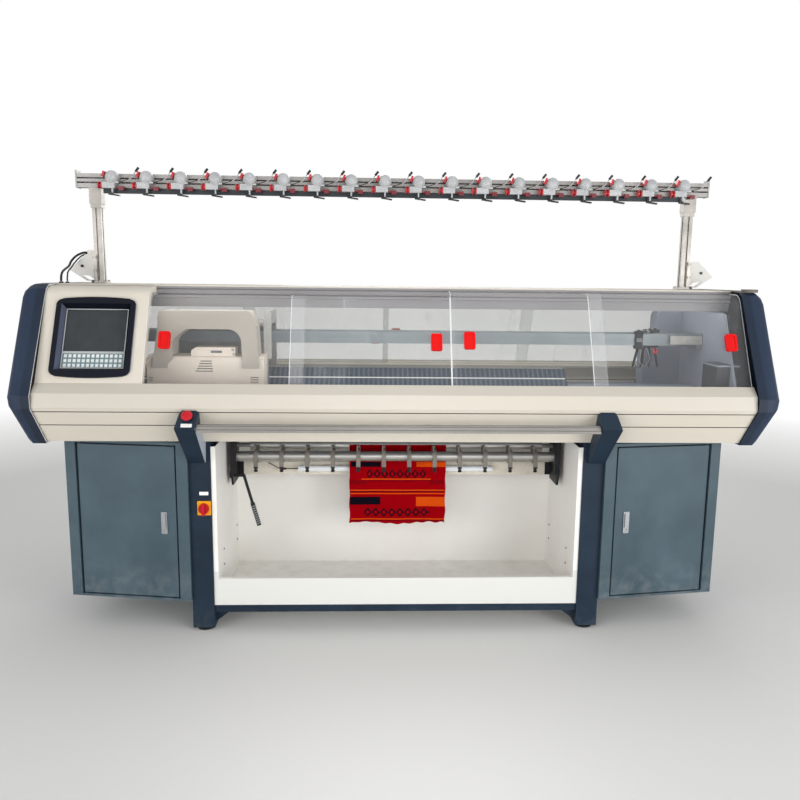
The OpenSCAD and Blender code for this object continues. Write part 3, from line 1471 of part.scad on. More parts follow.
cable_r = [4.5, 3];
function along_route(p, i) = unit(p[min(i + 1, len(p) - 1)] - p[max(i - 1, 0)]);
function tube_points(p, r, n) = [
    for (i = [0 : len(p) - 1], k = [0 : n - 1])
        let (t = along_route(p, i), u = unit(cross(t, [0.2, 1, 0])), v = cross(t, u))
        p[i] + r * (cos(360 * k / n) * u + sin(360 * k / n) * v)
];
module tube(p, r, n = 10) {
    last = (len(p) - 1) * n;
    polyhedron(points = tube_points(p, r, n), faces = concat(
        [[for (k = [0 : n - 1]) k]], [[for (k = [n - 1 : -1 : 0]) last + k]],
        [for (i = [0 : len(p) - 2], k = [0 : n - 1]) [
            i * n + (k + 1) % n, i * n + k, (i + 1) * n + k, (i + 1) * n + (k + 1) % n
        ]]
    ));
}
module stand_cables() {
    color(dark) for (k = [0, 1]) tube(cable_routes[k], cable_r[k]);
}

left_leg_frame();
right_leg_frame();
bottom_beams();
levelling_feet();
bed_frame();
left_end_cap();
right_end_cap();
front_fascia();
rear_fascia();
top_beam();
control_cover();
screen_bezel();
display();
keypad();
front_door_left();
front_door_right();
left_door_handles();
right_door_handles();
rear_door_left();
rear_door_right();
front_needle_bed();
rear_needle_bed();
yarn_rails();
carriage_rails();
carriage();
carriage_cover();
carriage_bow();
yarn_feeder_1();
yarn_feeder_2();
yarn_feeder_3();
yarn_feeder_4();
drive_belt();
drive_pulley();
idler_pulley();
drive_motor();
takedown_roller();
pressure_shaft();
pressure_arms();
takedown_frame();
release_lever();
lamp_tube();
fabric_bin();
knitted_piece();
left_cabinet();
right_cabinet();
left_cabinet_door();
right_cabinet_door();
left_latch();
right_latch();
left_arm();
right_arm();
start_bar();
emergency_button();
switch_plate();
switch_knob();
yarn_beam();
stand_posts();
stop_units();
stop_caps();
stand_cables();
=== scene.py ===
# Flat knitting machine: finishes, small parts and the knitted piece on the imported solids
import math
import bmesh
import bpy
from mathutils import Matrix, Vector


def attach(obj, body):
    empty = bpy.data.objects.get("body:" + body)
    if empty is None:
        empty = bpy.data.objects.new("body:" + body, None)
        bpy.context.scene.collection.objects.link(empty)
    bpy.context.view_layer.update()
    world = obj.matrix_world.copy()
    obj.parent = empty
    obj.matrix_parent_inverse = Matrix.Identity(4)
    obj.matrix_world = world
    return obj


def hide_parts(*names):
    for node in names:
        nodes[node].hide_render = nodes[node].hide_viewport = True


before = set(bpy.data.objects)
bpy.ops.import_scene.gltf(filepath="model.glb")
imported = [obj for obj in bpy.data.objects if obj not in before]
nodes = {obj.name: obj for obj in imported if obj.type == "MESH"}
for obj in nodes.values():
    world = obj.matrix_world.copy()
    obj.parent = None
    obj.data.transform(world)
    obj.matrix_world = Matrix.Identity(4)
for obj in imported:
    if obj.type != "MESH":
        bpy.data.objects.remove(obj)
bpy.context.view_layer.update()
scene = bpy.context.scene
scene.view_settings.view_transform = "Standard"
print("frame loaded:", len(nodes), "nodes")

# Camera, fitted to the photograph: place in metres, angles in degrees
cameraSetup = {
    "place": (-0.108874, -3.140487, 1.370489), "yaw": -2.26056, "pitch": 9.13245, "roll": 0.65774,
    "focusPixels": 764.159, "framePixels": 800, "sensor": 36, "clipEnd": 100,
}


def makeCamera(setup):
    yaw, pitch, roll = (math.radians(setup[k]) for k in ("yaw", "pitch", "roll"))
    up = Vector((0, 0, 1))
    across = Vector((math.cos(yaw), math.sin(yaw), 0))
    ahead = Vector((-math.sin(yaw), math.cos(yaw), 0))
    look = ahead * math.cos(pitch) - up * math.sin(pitch)
    top = up * math.cos(pitch) + ahead * math.sin(pitch)
    right = across * math.cos(roll) + top * math.sin(roll)
    top = top * math.cos(roll) - across * math.sin(roll)
    data = bpy.data.cameras.new("viewCamera")
    data.sensor_fit = "HORIZONTAL"
    data.sensor_width = setup["sensor"]
    data.lens = setup["sensor"] * setup["focusPixels"] / setup["framePixels"]
    data.clip_end = setup["clipEnd"]
    camera = bpy.data.objects.new("viewCamera", data)
    turn = Matrix((right, top, -look)).transposed().to_4x4()
    camera.matrix_world = Matrix.Translation(setup["place"]) @ turn
    scene.collection.objects.link(camera)
    scene.camera = camera


makeCamera(cameraSetup)
print("camera placed")


# Shader maths: one socket that can be added, multiplied and so on
class Signal:
    def __init__(self, owner, socket):
        self.owner, self.socket = owner, socket

    def calc(self, operation, *terms):
        return self.owner.node("ShaderNodeMath", {"operation": operation}, dict(enumerate(terms)))

    def __add__(self, other):
        return self.calc("ADD", self, other)

    def __sub__(self, other):
        return self.calc("SUBTRACT", self, other)

    def __rsub__(self, other):
        return self.calc("SUBTRACT", other, self)

    def __mul__(self, other):
        return self.calc("MULTIPLY", self, other)

    def __pow__(self, other):
        return self.calc("POWER", self, other)

    def __gt__(self, other):
        return self.calc("GREATER_THAN", self, other)

    def __lt__(self, other):
        return self.calc("LESS_THAN", self, other)

    def __abs__(self):
        return self.calc("ABSOLUTE", self)

    def most(self, other):
        return self.calc("MAXIMUM", self, other)

    def every(self, step):
        return self.calc("FLOORED_MODULO", self, step)

    def wave(self, length):
        return self.calc("SINE", self * (2 * math.pi / length))

    def ramp(self, low, high, start=0.0, end=1.0):
        return self.owner.node(
            "ShaderNodeMapRange", {"clamp": True}, {0: self, 1: low, 2: high, 3: start, 4: end}
        )


# One node tree: every node in it comes from node()
class Tree:
    def __init__(self, tree):
        self.tree = tree
        tree.nodes.clear()

    def feed(self, socket, value):
        if isinstance(value, Signal):
            self.tree.links.new(value.socket, socket)
        else:
            socket.default_value = (*value, 1.0) if socket.type == "RGBA" else value

    def node(self, kind, settings=None, values=None, output=0):
        made = self.tree.nodes.new(kind)
        for key, value in (settings or {}).items():
            setattr(made, key, value)
        for key, value in (values or {}).items():
            self.feed(made.inputs[key], value)
        return Signal(self, made.outputs[output]) if made.outputs else made


finishes = {}


# One material: its coordinates in metres, its patterns and its shader
class Finish(Tree):
    def __init__(self, name):
        self.material = finishes[name] = bpy.data.materials.new(name)
        self.material.use_nodes = True
        super().__init__(self.material.node_tree)
        self.surface = self.node("ShaderNodeBsdfPrincipled")
        self.output = self.node("ShaderNodeOutputMaterial", {}, {"Surface": self.surface})
        self.place = self.node("ShaderNodeTexCoord", output="Object")
        self.x, self.y, self.z = self.split(self.place)

    def split(self, vector):
        first = self.node("ShaderNodeSeparateXYZ", {}, {0: vector})
        return [Signal(self, socket) for socket in first.socket.node.outputs]

    def mix(self, factor, first, second):
        return self.node("ShaderNodeMix", {"data_type": "RGBA"}, {0: factor, 6: first, 7: second}, 2)

    def stretched(self, x, y, z):
        return self.node("ShaderNodeVectorMath", {"operation": "MULTIPLY"}, {0: self.place, 1: (x, y, z)})

    def noise(self, scale, detail=3.0, where=None, roughness=0.5):
        return self.node("ShaderNodeTexNoise", {}, {
            "Vector": where or self.place, "Scale": scale, "Detail": detail, "Roughness": roughness,
        })

    def patches(self, scale, detail=4.0, low=0.35, high=0.7):
        return self.noise(scale, detail).ramp(low, high)

    def cells(self, scale, feature="F1"):
        return self.node("ShaderNodeTexVoronoi", {"feature": feature}, {"Vector": self.place, "Scale": scale})

    def facing(self, axis):
        return self.split(self.node("ShaderNodeNewGeometry", output="Normal"))[axis]

    def bump(self, height, distance, strength=0.3):
        made = self.node("ShaderNodeBump", {}, {"Height": height, "Distance": distance, "Strength": strength})
        self.feed(self.surface.socket.node.inputs["Normal"], made)

    def grain(self, scale, depth, strength=0.3):
        self.bump(self.noise(scale, 2.0), depth, strength)

    def set(self, **values):
        names = {
            "colour": "Base Color", "rough": "Roughness", "metal": "Metallic", "coat": "Coat Weight",
            "coatRough": "Coat Roughness", "alpha": "Alpha", "gloss": "Specular IOR Level",
        }
        for key, value in values.items():
            self.feed(self.surface.socket.node.inputs[names[key]], value)


def tone(red, green, blue):
    def linear(c):
        c = c / 255
        return c / 12.92 if c <= 0.04045 else ((c + 0.055) / 1.055) ** 2.4

    return (linear(red), linear(green), linear(blue))


def coated(name, setup):
    # Powder coat: two near tones in soft patches, orange-peel grain, dust low down
    f = Finish(name)
    patches = f.patches(setup.get("patch", 3.0), 5.0)
    colour = f.mix(patches, setup["tone"], setup["shade"])
    if "dust" in setup:
        low = f.z.ramp(setup["dustTop"], 0.0) * f.patches(26.0, 4.0, 0.42, 0.72)
        colour = f.mix(low * 0.55, colour, setup["dust"])
    specks = f.patches(90.0, 3.0, 0.66, 0.74)
    colour = f.mix(specks * 0.12, colour, setup.get("speck", setup["shade"]))
    f.set(colour=colour, rough=patches * 0.1 + setup["rough"], gloss=0.22)
    f.grain(700.0, 0.0003, 0.35)


coated("innerShellPaint", {"tone": tone(232, 225, 212), "shade": tone(222, 215, 202), "rough": 0.45, "patch": 4.0})
coated("bowPaint", {"tone": tone(186, 179, 168), "shade": tone(177, 169, 157), "rough": 0.45, "patch": 4.0})
coated("housingPaint", {"tone": tone(244, 233, 219), "shade": tone(236, 224, 210), "rough": 0.45, "patch": 4.0})
coated("blackCoat", {"tone": tone(26, 27, 30), "shade": tone(38, 39, 42), "rough": 0.42, "speck": tone(90, 90, 92)})
coated("legPaint", {
    "tone": tone(23, 38, 53), "shade": tone(33, 50, 67), "rough": 0.42, "patch": 5.0, "dust": tone(84, 92, 98),
    "dustTop": 0.1, "speck": tone(96, 108, 118),
})
coated("cabinetPaint", {
    "tone": tone(66, 83, 92), "shade": tone(78, 96, 106), "rough": 0.38, "patch": 6.0, "dust": tone(140, 146, 148),
    "dustTop": 0.3, "speck": tone(130, 142, 150),
})

# Boards: lower and middle board with two dark inlays, and a slightly greyer upper board at the front
shellPaint = {
    "tone": tone(219, 213, 200), "shade": tone(212, 204, 190), "streak": tone(196, 184, 164),
    "upper": tone(203, 197, 186), "upperFrom": 0.9045, "groove": tone(58, 55, 50), "grooveAt": (0.0937, 0.1666),
    "grooveHalf": 0.0023, "grooveTop": 0.904, "mirrorY": 0.0145, "chinY": 0.3575, "chinZ": 0.761,
    "slope": (0.6402, 0.7682),
}


def makeShellPaint(setup):
    f = Finish("shellPaint")
    patches = f.patches(1.6, 6.0, 0.3, 0.75)
    colour = f.mix(patches, setup["tone"], setup["shade"])
    colour = f.mix((f.z > setup["upperFrom"]) * (f.y < 0.0) * 0.75, colour, setup["upper"])
    streaks = f.noise(14.0, 4.0, f.stretched(0.12, 1.0, 1.0)).ramp(0.6, 0.85)
    colour = f.mix(streaks * 0.12, colour, setup["streak"])
    # The inlays' places are measured up the sloped lower board
    depth = abs(f.y - setup["mirrorY"]) - setup["chinY"]
    along = depth * setup["slope"][0] + (f.z - setup["chinZ"]) * setup["slope"][1]
    lower, upper = (abs(along - at) < setup["grooveHalf"] for at in setup["grooveAt"])
    inlay = lower.most(upper) * (f.z < setup["grooveTop"])
    f.set(colour=f.mix(inlay, colour, setup["groove"]), rough=patches * 0.08 + 0.4, gloss=0.3)
    f.grain(900.0, 0.0002)


makeShellPaint(shellPaint)

# Arms of the start bar: blue like the legs, with painted light on the left one's inner cheek
armPaint = {"tone": tone(23, 38, 53), "shade": tone(33, 50, 67), "paintedCheekLight": tone(184, 192, 204), "paintedCheekLightTop": 0.84}


def makeArmPaint(setup):
    f = Finish("armPaint")
    patches = f.patches(5.0)
    # Painted light: faces turned to +X on the left arm, below the top, are mixed towards a pale grey-blue
    paintedCheekLight = f.facing(0).ramp(0.55, 0.9) * (f.x < 0.0) * (f.z < setup["paintedCheekLightTop"])
    colour = f.mix(paintedCheekLight * 0.8, f.mix(patches, setup["tone"], setup["shade"]), setup["paintedCheekLight"])
    f.set(colour=colour, rough=patches * 0.1 + 0.4, gloss=0.25)
    f.grain(700.0, 0.0003, 0.35)


makeArmPaint(armPaint)

# Bin: white enamel, the front lip a touch greyer than the inside, dust in the corners
binEnamel = {
    "tone": tone(250, 249, 245), "shade": tone(242, 239, 233), "lip": tone(226, 226, 222), "lipY": -0.3065,
    "lipTop": 0.24, "dust": tone(190, 184, 172), "dustRange": (0.125, 0.1),
}


def makeBinEnamel(setup):
    f = Finish("binEnamel")
    patches = f.patches(3.0, 5.0)
    colour = f.mix(patches, setup["tone"], setup["shade"])
    colour = f.mix((f.y < setup["lipY"]) * (f.z < setup["lipTop"]), colour, setup["lip"])
    dust = f.z.ramp(*setup["dustRange"]) * f.patches(20.0, 4.0, 0.45, 0.75)
    colour = f.mix(dust * 0.3, colour, setup["dust"])
    f.set(colour=colour, rough=patches * 0.1 + 0.33, gloss=0.2)
    f.grain(500.0, 0.0002)


makeBinEnamel(binEnamel)

# End caps: leather-grained moulding, a painted highlight on the bevels, painted light on the left cap's inner face,
# disc and gland on top
capPlastic = {
    "tone": tone(28, 38, 54), "shade": tone(36, 48, 66), "paintedBevelHighlight": tone(52, 68, 96), "bevelHighlightFromX": 1.322,
    "lit": tone(226, 226, 228), "disc": tone(116, 111, 102), "discZ": 1.3265, "gland": tone(22, 22, 24),
    "glandZ": 1.3332,
}


def makeCapPlastic(setup):
    f = Finish("capPlastic")
    # Painted highlight: the outer ends of both caps turn a lighter navy over their last centimetre
    bevelHighlight = (abs(f.x) - setup["bevelHighlightFromX"]).ramp(0.0, 0.01)
    colour = f.mix(f.patches(4.0), setup["tone"], setup["shade"])
    colour = f.mix(bevelHighlight * 0.35, colour, setup["paintedBevelHighlight"])
    # Painted light: faces of the left cap turned to +X are made near white
    colour = f.mix(f.facing(0).ramp(0.5, 0.9) * (f.x < 0.0), colour, setup["lit"])
    colour = f.mix((f.z > setup["discZ"]) * (f.x > 0.0), colour, setup["disc"])
    colour = f.mix((f.z > setup["glandZ"]) * (f.x < 0.0), colour, setup["gland"])
    leather = f.cells(330.0, "SMOOTH_F1")
    f.set(colour=colour, rough=leather * 0.2 + 0.4, gloss=0.2)
    f.bump(leather, 0.0006, 0.45)


makeCapPlastic(capPlastic)


def metal(name, setup):
    # Ground or drawn metal: fine lines along the part and soft stains
    f = Finish(name)
    lines = f.noise(setup.get("lines", 700.0), 3.0, f.stretched(*setup.get("run", (0.02, 1, 1))))
    stains = f.patches(9.0, 4.0, 0.4, 0.75)
    colour = f.mix(stains * 0.5, setup["tone"], setup["shade"])
    f.set(colour=colour, metal=setup["metal"], rough=lines * 0.16 + stains * 0.1 + setup["rough"])
    f.bump(lines, 0.0002, 0.35)


metal("groundSteel", {
    "tone": tone(160, 163, 166), "shade": tone(128, 131, 135), "rough": 0.2, "metal": 1.0, "lines": 900.0,
    "run": (0.03, 1, 1),
})
metal("profileAluminium", {"tone": tone(178, 176, 171), "shade": tone(154, 153, 150), "rough": 0.3, "metal": 0.85})
metal("barAluminium", {"tone": tone(140, 137, 133), "shade": tone(122, 120, 117), "rough": 0.36, "metal": 0.4})
metal("railSteel", {"tone": tone(128, 136, 139), "shade": tone(112, 120, 124), "rough": 0.34, "metal": 0.4})

# Stand posts: drawn section, white bracket plates with dark bolts
postFinish = {
    "tone": tone(160, 156, 150), "shade": tone(136, 132, 126), "plate": tone(226, 224, 218), "plateX": 1.2715,
    "plateTop": 1.455, "bolt": tone(36, 36, 38), "boltX": 1.2695, "boltY": 0.1597,
}


def makePostFinish(setup):
    f = Finish("postAluminium")
    lines = f.noise(700.0, 3.0, f.stretched(1, 1, 0.02))
    stains = f.patches(9.0, 4.0, 0.4, 0.75)
    side, low = abs(f.x), f.z < setup["plateTop"]
    plate = (side > setup["plateX"]) * low
    bolt = (side > setup["boltX"]) * (f.y < setup["boltY"]) * low
    colour = f.mix(plate, f.mix(stains, setup["tone"], setup["shade"]), setup["plate"])
    colour = f.mix(bolt, colour, setup["bolt"])
    f.set(colour=colour, metal=0.75 - plate * 0.75, rough=lines * 0.14 + stains * 0.08 + 0.26)
    f.bump(lines, 0.0002)


makePostFinish(postFinish)

# Stand beam: anodised section with the dark strip under it
beamFinish = {
    "tone": tone(172, 170, 167), "shade": tone(154, 152, 149), "strip": tone(40, 46, 52), "stripTop": 1.7215,
    "stripHalf": 1.2165,
}


def makeBeamFinish(setup):
    f = Finish("beamAluminium")
    strip = (f.z < setup["stripTop"]) * (abs(f.x) < setup["stripHalf"])
    lines = f.noise(700.0, 3.0, f.stretched(0.02, 1, 1))
    stains = f.patches(9.0, 4.0, 0.4, 0.75)
    colour = f.mix(strip, f.mix(stains, setup["tone"], setup["shade"]), setup["strip"])
    f.set(colour=colour, metal=0.4 - strip * 0.3, rough=lines * 0.16 + stains * 0.08 + 0.32)
    f.bump(lines, 0.0002)


makeBeamFinish(beamFinish)


def plastic(name, setup):
    f = Finish(name)
    patches = f.patches(12.0)
    f.set(colour=f.mix(patches, setup["tone"], setup["shade"]), rough=patches * 0.1 + setup["rough"])
    f.set(coat=setup.get("coat", 0.0), coatRough=0.2, gloss=setup.get("gloss", 0.25))
    f.grain(setup.get("grain", 1200.0), setup.get("depth", 0.0001))


plastic("handlePlastic", {"tone": tone(236, 8, 8), "shade": tone(222, 6, 6), "rough": 0.3, "coat": 0.05})
plastic("knobRed", {"tone": tone(200, 18, 36), "shade": tone(184, 14, 30), "rough": 0.3, "coat": 0.1})
plastic("blackPlastic", {"tone": tone(22, 22, 24), "shade": tone(32, 32, 34), "rough": 0.45})
plastic("beltRubber", {
    "tone": tone(24, 24, 25), "shade": tone(36, 36, 37), "rough": 0.7, "grain": 700.0, "depth": 0.0003,
})
plastic("switchYellow", {"tone": tone(250, 176, 24), "shade": tone(242, 160, 16), "rough": 0.3})
plastic("lampTube", {"tone": tone(238, 241, 244), "shade": tone(226, 230, 234), "rough": 0.25, "coat": 0.3})
plastic("labelWhite", {"tone": tone(244, 244, 242), "shade": tone(234, 234, 230), "rough": 0.4})
plastic("gripPlastic", {"tone": tone(120, 124, 128), "shade": tone(98, 102, 106), "rough": 0.35})
plastic("frameSilver", {"tone": tone(192, 196, 194), "shade": tone(176, 181, 180), "rough": 0.35})
plastic("screwSteel", {"tone": tone(196, 194, 188), "shade": tone(160, 157, 150), "rough": 0.3, "gloss": 0.5})

# The leaning front cover in metres: its sill, its lean in degrees, and the screen's middle
cover = {"sillY": -0.420, "sillZ": 0.987, "lean": 25.0, "bezelX": -1.107}
leanSin, leanCos = math.sin(math.radians(cover["lean"])), math.cos(math.radians(cover["lean"]))


def onCover(x, v, off=0.0):
    # Point v up the cover and off behind its outer plane
    return Vector((
        x, cover["sillY"] + v * leanSin + off * leanCos, cover["sillZ"] + v * leanCos - off * leanSin
    ))


def offCover(y, z):
    # How far a point lies behind the cover's outer plane
    return (y - cover["sillY"]) * leanCos - (z - cover["sillZ"]) * leanSin


upCover = onCover(0, 1) - onCover(0, 0)

# Doors: joint strips, a painted highlight along one sheet edge, and at the rear red grips proud of the sheets' outer
# faces
frontDoors = {
    "tone": tone(226, 228, 230), "edge": tone(250, 251, 251), "clear": 0.035, "haze": 0.035, "wipes": 0.1,
    "marks": 0.16, "dots": 0.4, "strips": (-0.378, 0.734), "edgeHighlightAt": 0.1884,
}
rearDoors = {
    "tone": tone(206, 210, 198), "edge": tone(222, 226, 216), "clear": 0.3, "haze": 0.1, "wipes": 0.1, "marks": 0.1,
    "dots": 0.0, "strips": (-0.648, 0.604), "edgeHighlightAt": 9.0, "mirrorY": 0.029, "grip": tone(236, 8, 8),
    "gripOff": (0.0257, 0.0057), "gripSplit": -0.0523,
}
doorStrip = {"half": 0.026, "haze": 0.12, "highlightLineAt": 0.0252, "highlightLineHalf": 0.0009, "edgeHighlightHalf": 0.0013}


def makeAcrylic(name, setup, strip):
    # Clear sheet: light haze, wiping marks, fine scratches, and painted highlights on the cut edges and along the joint
    # strips
    f = Finish(name)
    haze = f.patches(1.4, 4.0, 0.3, 0.75)
    wipes = f.noise(7.0, 5.0, f.stretched(1.0, 0.25, 0.35), 0.65).ramp(0.58, 0.82)
    marks = f.noise(60.0, 3.0, f.stretched(1.0, 0.05, 0.05)).ramp(0.70, 0.76)
    dots = f.cells(34.0).ramp(0.06, 0.03) * f.patches(5.0, 2.0, 0.5, 0.62)
    # Painted highlight: end faces of the sheets, one line on a front sheet and thin lines at the joint strips are
    # bright and nearly opaque
    side = (abs(f.facing(0)) > 0.7).most(abs(f.x - setup["edgeHighlightAt"]) < strip["edgeHighlightHalf"])
    alpha = haze * setup["haze"] + wipes * setup["wipes"] + marks * setup["marks"] + dots * setup["dots"]
    alpha = alpha + setup["clear"]
    for at in setup["strips"]:
        alpha = alpha + (abs(f.x - at) < strip["half"]) * strip["haze"]
        side = side.most(abs(f.x - (at - strip["highlightLineAt"])) < strip["highlightLineHalf"])
    alpha = alpha.most(side * 0.8)
    # The edge tone is the colour of these painted highlights
    colour = f.mix(side, setup["tone"], setup["edge"])
    if "grip" in setup:
        off = offCover(setup["mirrorY"] - f.y, f.z)
        inner, outer = setup["gripOff"]
        grip = ((off < inner) * (f.x < setup["gripSplit"])).most(off < outer)
        colour = f.mix(grip, colour, setup["grip"])
        alpha = alpha.most(grip)
    f.set(colour=colour, alpha=alpha, rough=wipes * 0.12 + 0.12, gloss=0.4)
    f.material.surface_render_method = "BLENDED"


makeAcrylic("doorAcrylic", frontDoors, doorStrip)
makeAcrylic("rearAcrylic", rearDoors, doorStrip)

# Display and keypad: dark glass with smears, pale keys that stand proud of a grey-green membrane
screenTones = {
    "glass": tone(54, 59, 63), "smear": tone(62, 67, 71), "membrane": tone(108, 132, 138),
    "key": tone(232, 236, 236), "soil": tone(212, 218, 220), "keyOff": 0.0171,
}


def makeScreenFinishes(setup):
    f = Finish("displayGlass")
    smear = f.patches(16.0, 4.0, 0.4, 0.8)
    f.set(colour=f.mix(smear, setup["glass"], setup["smear"]), rough=smear * 0.12 + 0.16, gloss=0.2)
    f.set(coat=0.1, coatRough=0.08)
    f = Finish("keyMembrane")
    soil = f.patches(60.0, 3.0, 0.4, 0.8)
    proud = offCover(f.y, f.z) < setup["keyOff"]
    f.set(colour=f.mix(proud, setup["membrane"], f.mix(soil, setup["key"], setup["soil"])))
    f.set(rough=soil * 0.1 + 0.4)


makeScreenFinishes(screenTones)

# Needle beds: blued ground steel with painted shade in the grooves between the ribs
bedSteel = {
    "tone": tone(92, 104, 118), "shade": tone(72, 84, 98), "groove": tone(40, 48, 58), "pitch": 0.02, "rib": 0.008,
}


def makeBedSteel(setup):
    f = Finish("bedSteel")
    # Painted shade: the grooves between the ribs are darkened towards a near-black blue
    groove = f.x.every(setup["pitch"]) > setup["rib"]
    stains = f.patches(8.0, 4.0, 0.4, 0.75)
    colour = f.mix(stains, setup["tone"], setup["shade"])
    f.set(colour=f.mix(groove * 0.7, colour, setup["groove"]), metal=0.6, rough=stains * 0.12 + 0.35)
    f.bump(f.noise(800.0, 2.0, f.stretched(1, 0.05, 0.05)), 0.0002, 0.4)


makeBedSteel(bedSteel)

# Yarn stop units: pale body, black base, wire and bead; bright cap at the left, darker block at the right
stopUnits = {
    "first": -1.172, "pitch": 0.14, "cap": tone(206, 34, 46), "capShade": tone(178, 26, 40), "block": tone(120, 18, 34),
    "blockFrom": 0.008, "tone": tone(206, 208, 210), "shade": tone(186, 189, 192), "base": tone(26, 26, 28),
    "baseTop": 1.7005, "wireFrom": 0.0295, "beadTo": -0.0225, "beadZ": 1.7795,
}


def makeUnitFinishes(setup):
    def acrossUnit(f):
        # Sideways distance from the middle of the unit that the point belongs to
        half = setup["pitch"] / 2
        return (f.x - (setup["first"] - half)).every(setup["pitch"]) - half

    f = Finish("stopRed")
    soil = f.patches(60.0, 4.0, 0.4, 0.75)
    colour = f.mix(acrossUnit(f) > setup["blockFrom"], f.mix(soil, setup["cap"], setup["capShade"]), setup["block"])
    f.set(colour=colour, rough=soil * 0.1 + 0.28, coat=0.3, coatRough=0.2)
    f = Finish("unitPlastic")
    across = acrossUnit(f)
    wire = (across > setup["wireFrom"]).most((f.z > setup["beadZ"]) * (across < setup["beadTo"]))
    base = (f.z < setup["baseTop"]).most(wire)
    soil = f.patches(20.0)
    f.set(colour=f.mix(base, f.mix(soil, setup["tone"], setup["shade"]), setup["base"]), rough=soil * 0.1 + 0.28)
    f.set(coat=0.3, coatRough=0.15, gloss=0.3)
    f.grain(1200.0, 0.0001)


makeUnitFinishes(stopUnits)

# Screen bezel: near-black moulding, with painted light on the inner wall that faces right
bezelTones = {"tone": tone(10, 15, 27), "lit": tone(92, 98, 120)}


def makeBezel(setup):
    f = Finish("bezelPlastic")
    leather = f.cells(420.0, "SMOOTH_F1")
    # Painted light: faces turned to +X are mixed towards a lighter grey-blue
    colour = f.mix(f.facing(0).ramp(0.5, 0.8), setup["tone"], setup["lit"])
    f.set(colour=colour, rough=leather * 0.2 + 0.34, gloss=0.16)
    f.bump(leather, 0.0004, 0.4)


makeBezel(bezelTones)

# Top beam: cream on the outside, grey on the two channels that hang inside
topPaint = {
    "tone": tone(226, 219, 206), "shade": tone(214, 207, 194), "inside": tone(150, 148, 150), "insideTop": 1.2815,
    "frontY": -0.135, "frontTop": 1.3275,
}


def makeTopPaint(setup):
    f = Finish("topPaint")
    patches = f.patches(2.0, 5.0, 0.3, 0.75)
    inside = (f.z < setup["insideTop"]).most((f.y < setup["frontY"]) * (f.z < setup["frontTop"]))
    colour = f.mix(inside, f.mix(patches, setup["tone"], setup["shade"]), setup["inside"])
    f.set(colour=colour, rough=patches * 0.1 + 0.42, gloss=0.25)
    f.grain(800.0, 0.0002)


makeTopPaint(topPaint)

# Bed frame: casting and end walls, with the black service box at the right
framePaint = {
    "tone": tone(142, 148, 160), "shade": tone(128, 135, 148), "box": tone(36, 39, 44), "boxEdge": tone(66, 70, 76),
    "boxX": 1.1945, "boxY": -0.2675, "boxHalf": 0.064, "boxZ": (0.8, 1.0585), "edgeZ": 1.0495,
}


def makeFramePaint(setup):
    f = Finish("framePaint")
    patches = f.patches(5.0)
    foot, top = setup["boxZ"]
    inBox = (f.x > setup["boxX"]) * (abs(f.y - setup["boxY"]) < setup["boxHalf"]) * (f.z < top) * (f.z > foot)
    box = f.mix(f.z > setup["edgeZ"], setup["box"], setup["boxEdge"])
    colour = f.mix(inBox, f.mix(patches, setup["tone"], setup["shade"]), box)
    f.set(colour=colour, rough=patches * 0.12 + 0.45, gloss=0.25)
    f.grain(420.0, 0.0005, 0.35)


makeFramePaint(framePaint)

# Take-down frame: black brackets and lips, pale plate behind the lamp
takedownPaint = {
    "tone": tone(26, 27, 30), "shade": tone(40, 41, 44), "plate": tone(226, 219, 205), "soiled": tone(206, 198, 184),
    "plateY": 0.0225, "plateHalf": 0.6405, "plateTop": 0.5955,
}


def makeTakedownPaint(setup):
    f = Finish("takedownPaint")
    pale = (f.y > setup["plateY"]) * (abs(f.x) < setup["plateHalf"]) * (f.z < setup["plateTop"])
    soil = f.patches(30.0, 4.0, 0.4, 0.75)
    black = f.mix(soil, setup["tone"], setup["shade"])
    f.set(colour=f.mix(pale, black, f.mix(soil, setup["plate"], setup["soiled"])), rough=soil * 0.12 + 0.4, gloss=0.2)
    f.grain(700.0, 0.0002)


makeTakedownPaint(takedownPaint)

# Pressure arms: grey-brown with a black tip
armPlastic = {"tone": tone(132, 126, 118), "shade": tone(112, 106, 98), "tip": tone(24, 24, 26), "tipTop": 0.604}


def makeArmPlastic(setup):
    f = Finish("armPlastic")
    soil = f.patches(30.0)
    colour = f.mix(f.z < setup["tipTop"], f.mix(soil, setup["tone"], setup["shade"]), setup["tip"])
    f.set(colour=colour, rough=soil * 0.1 + 0.4, gloss=0.25)
    f.grain(900.0, 0.0002)


makeArmPlastic(armPlastic)

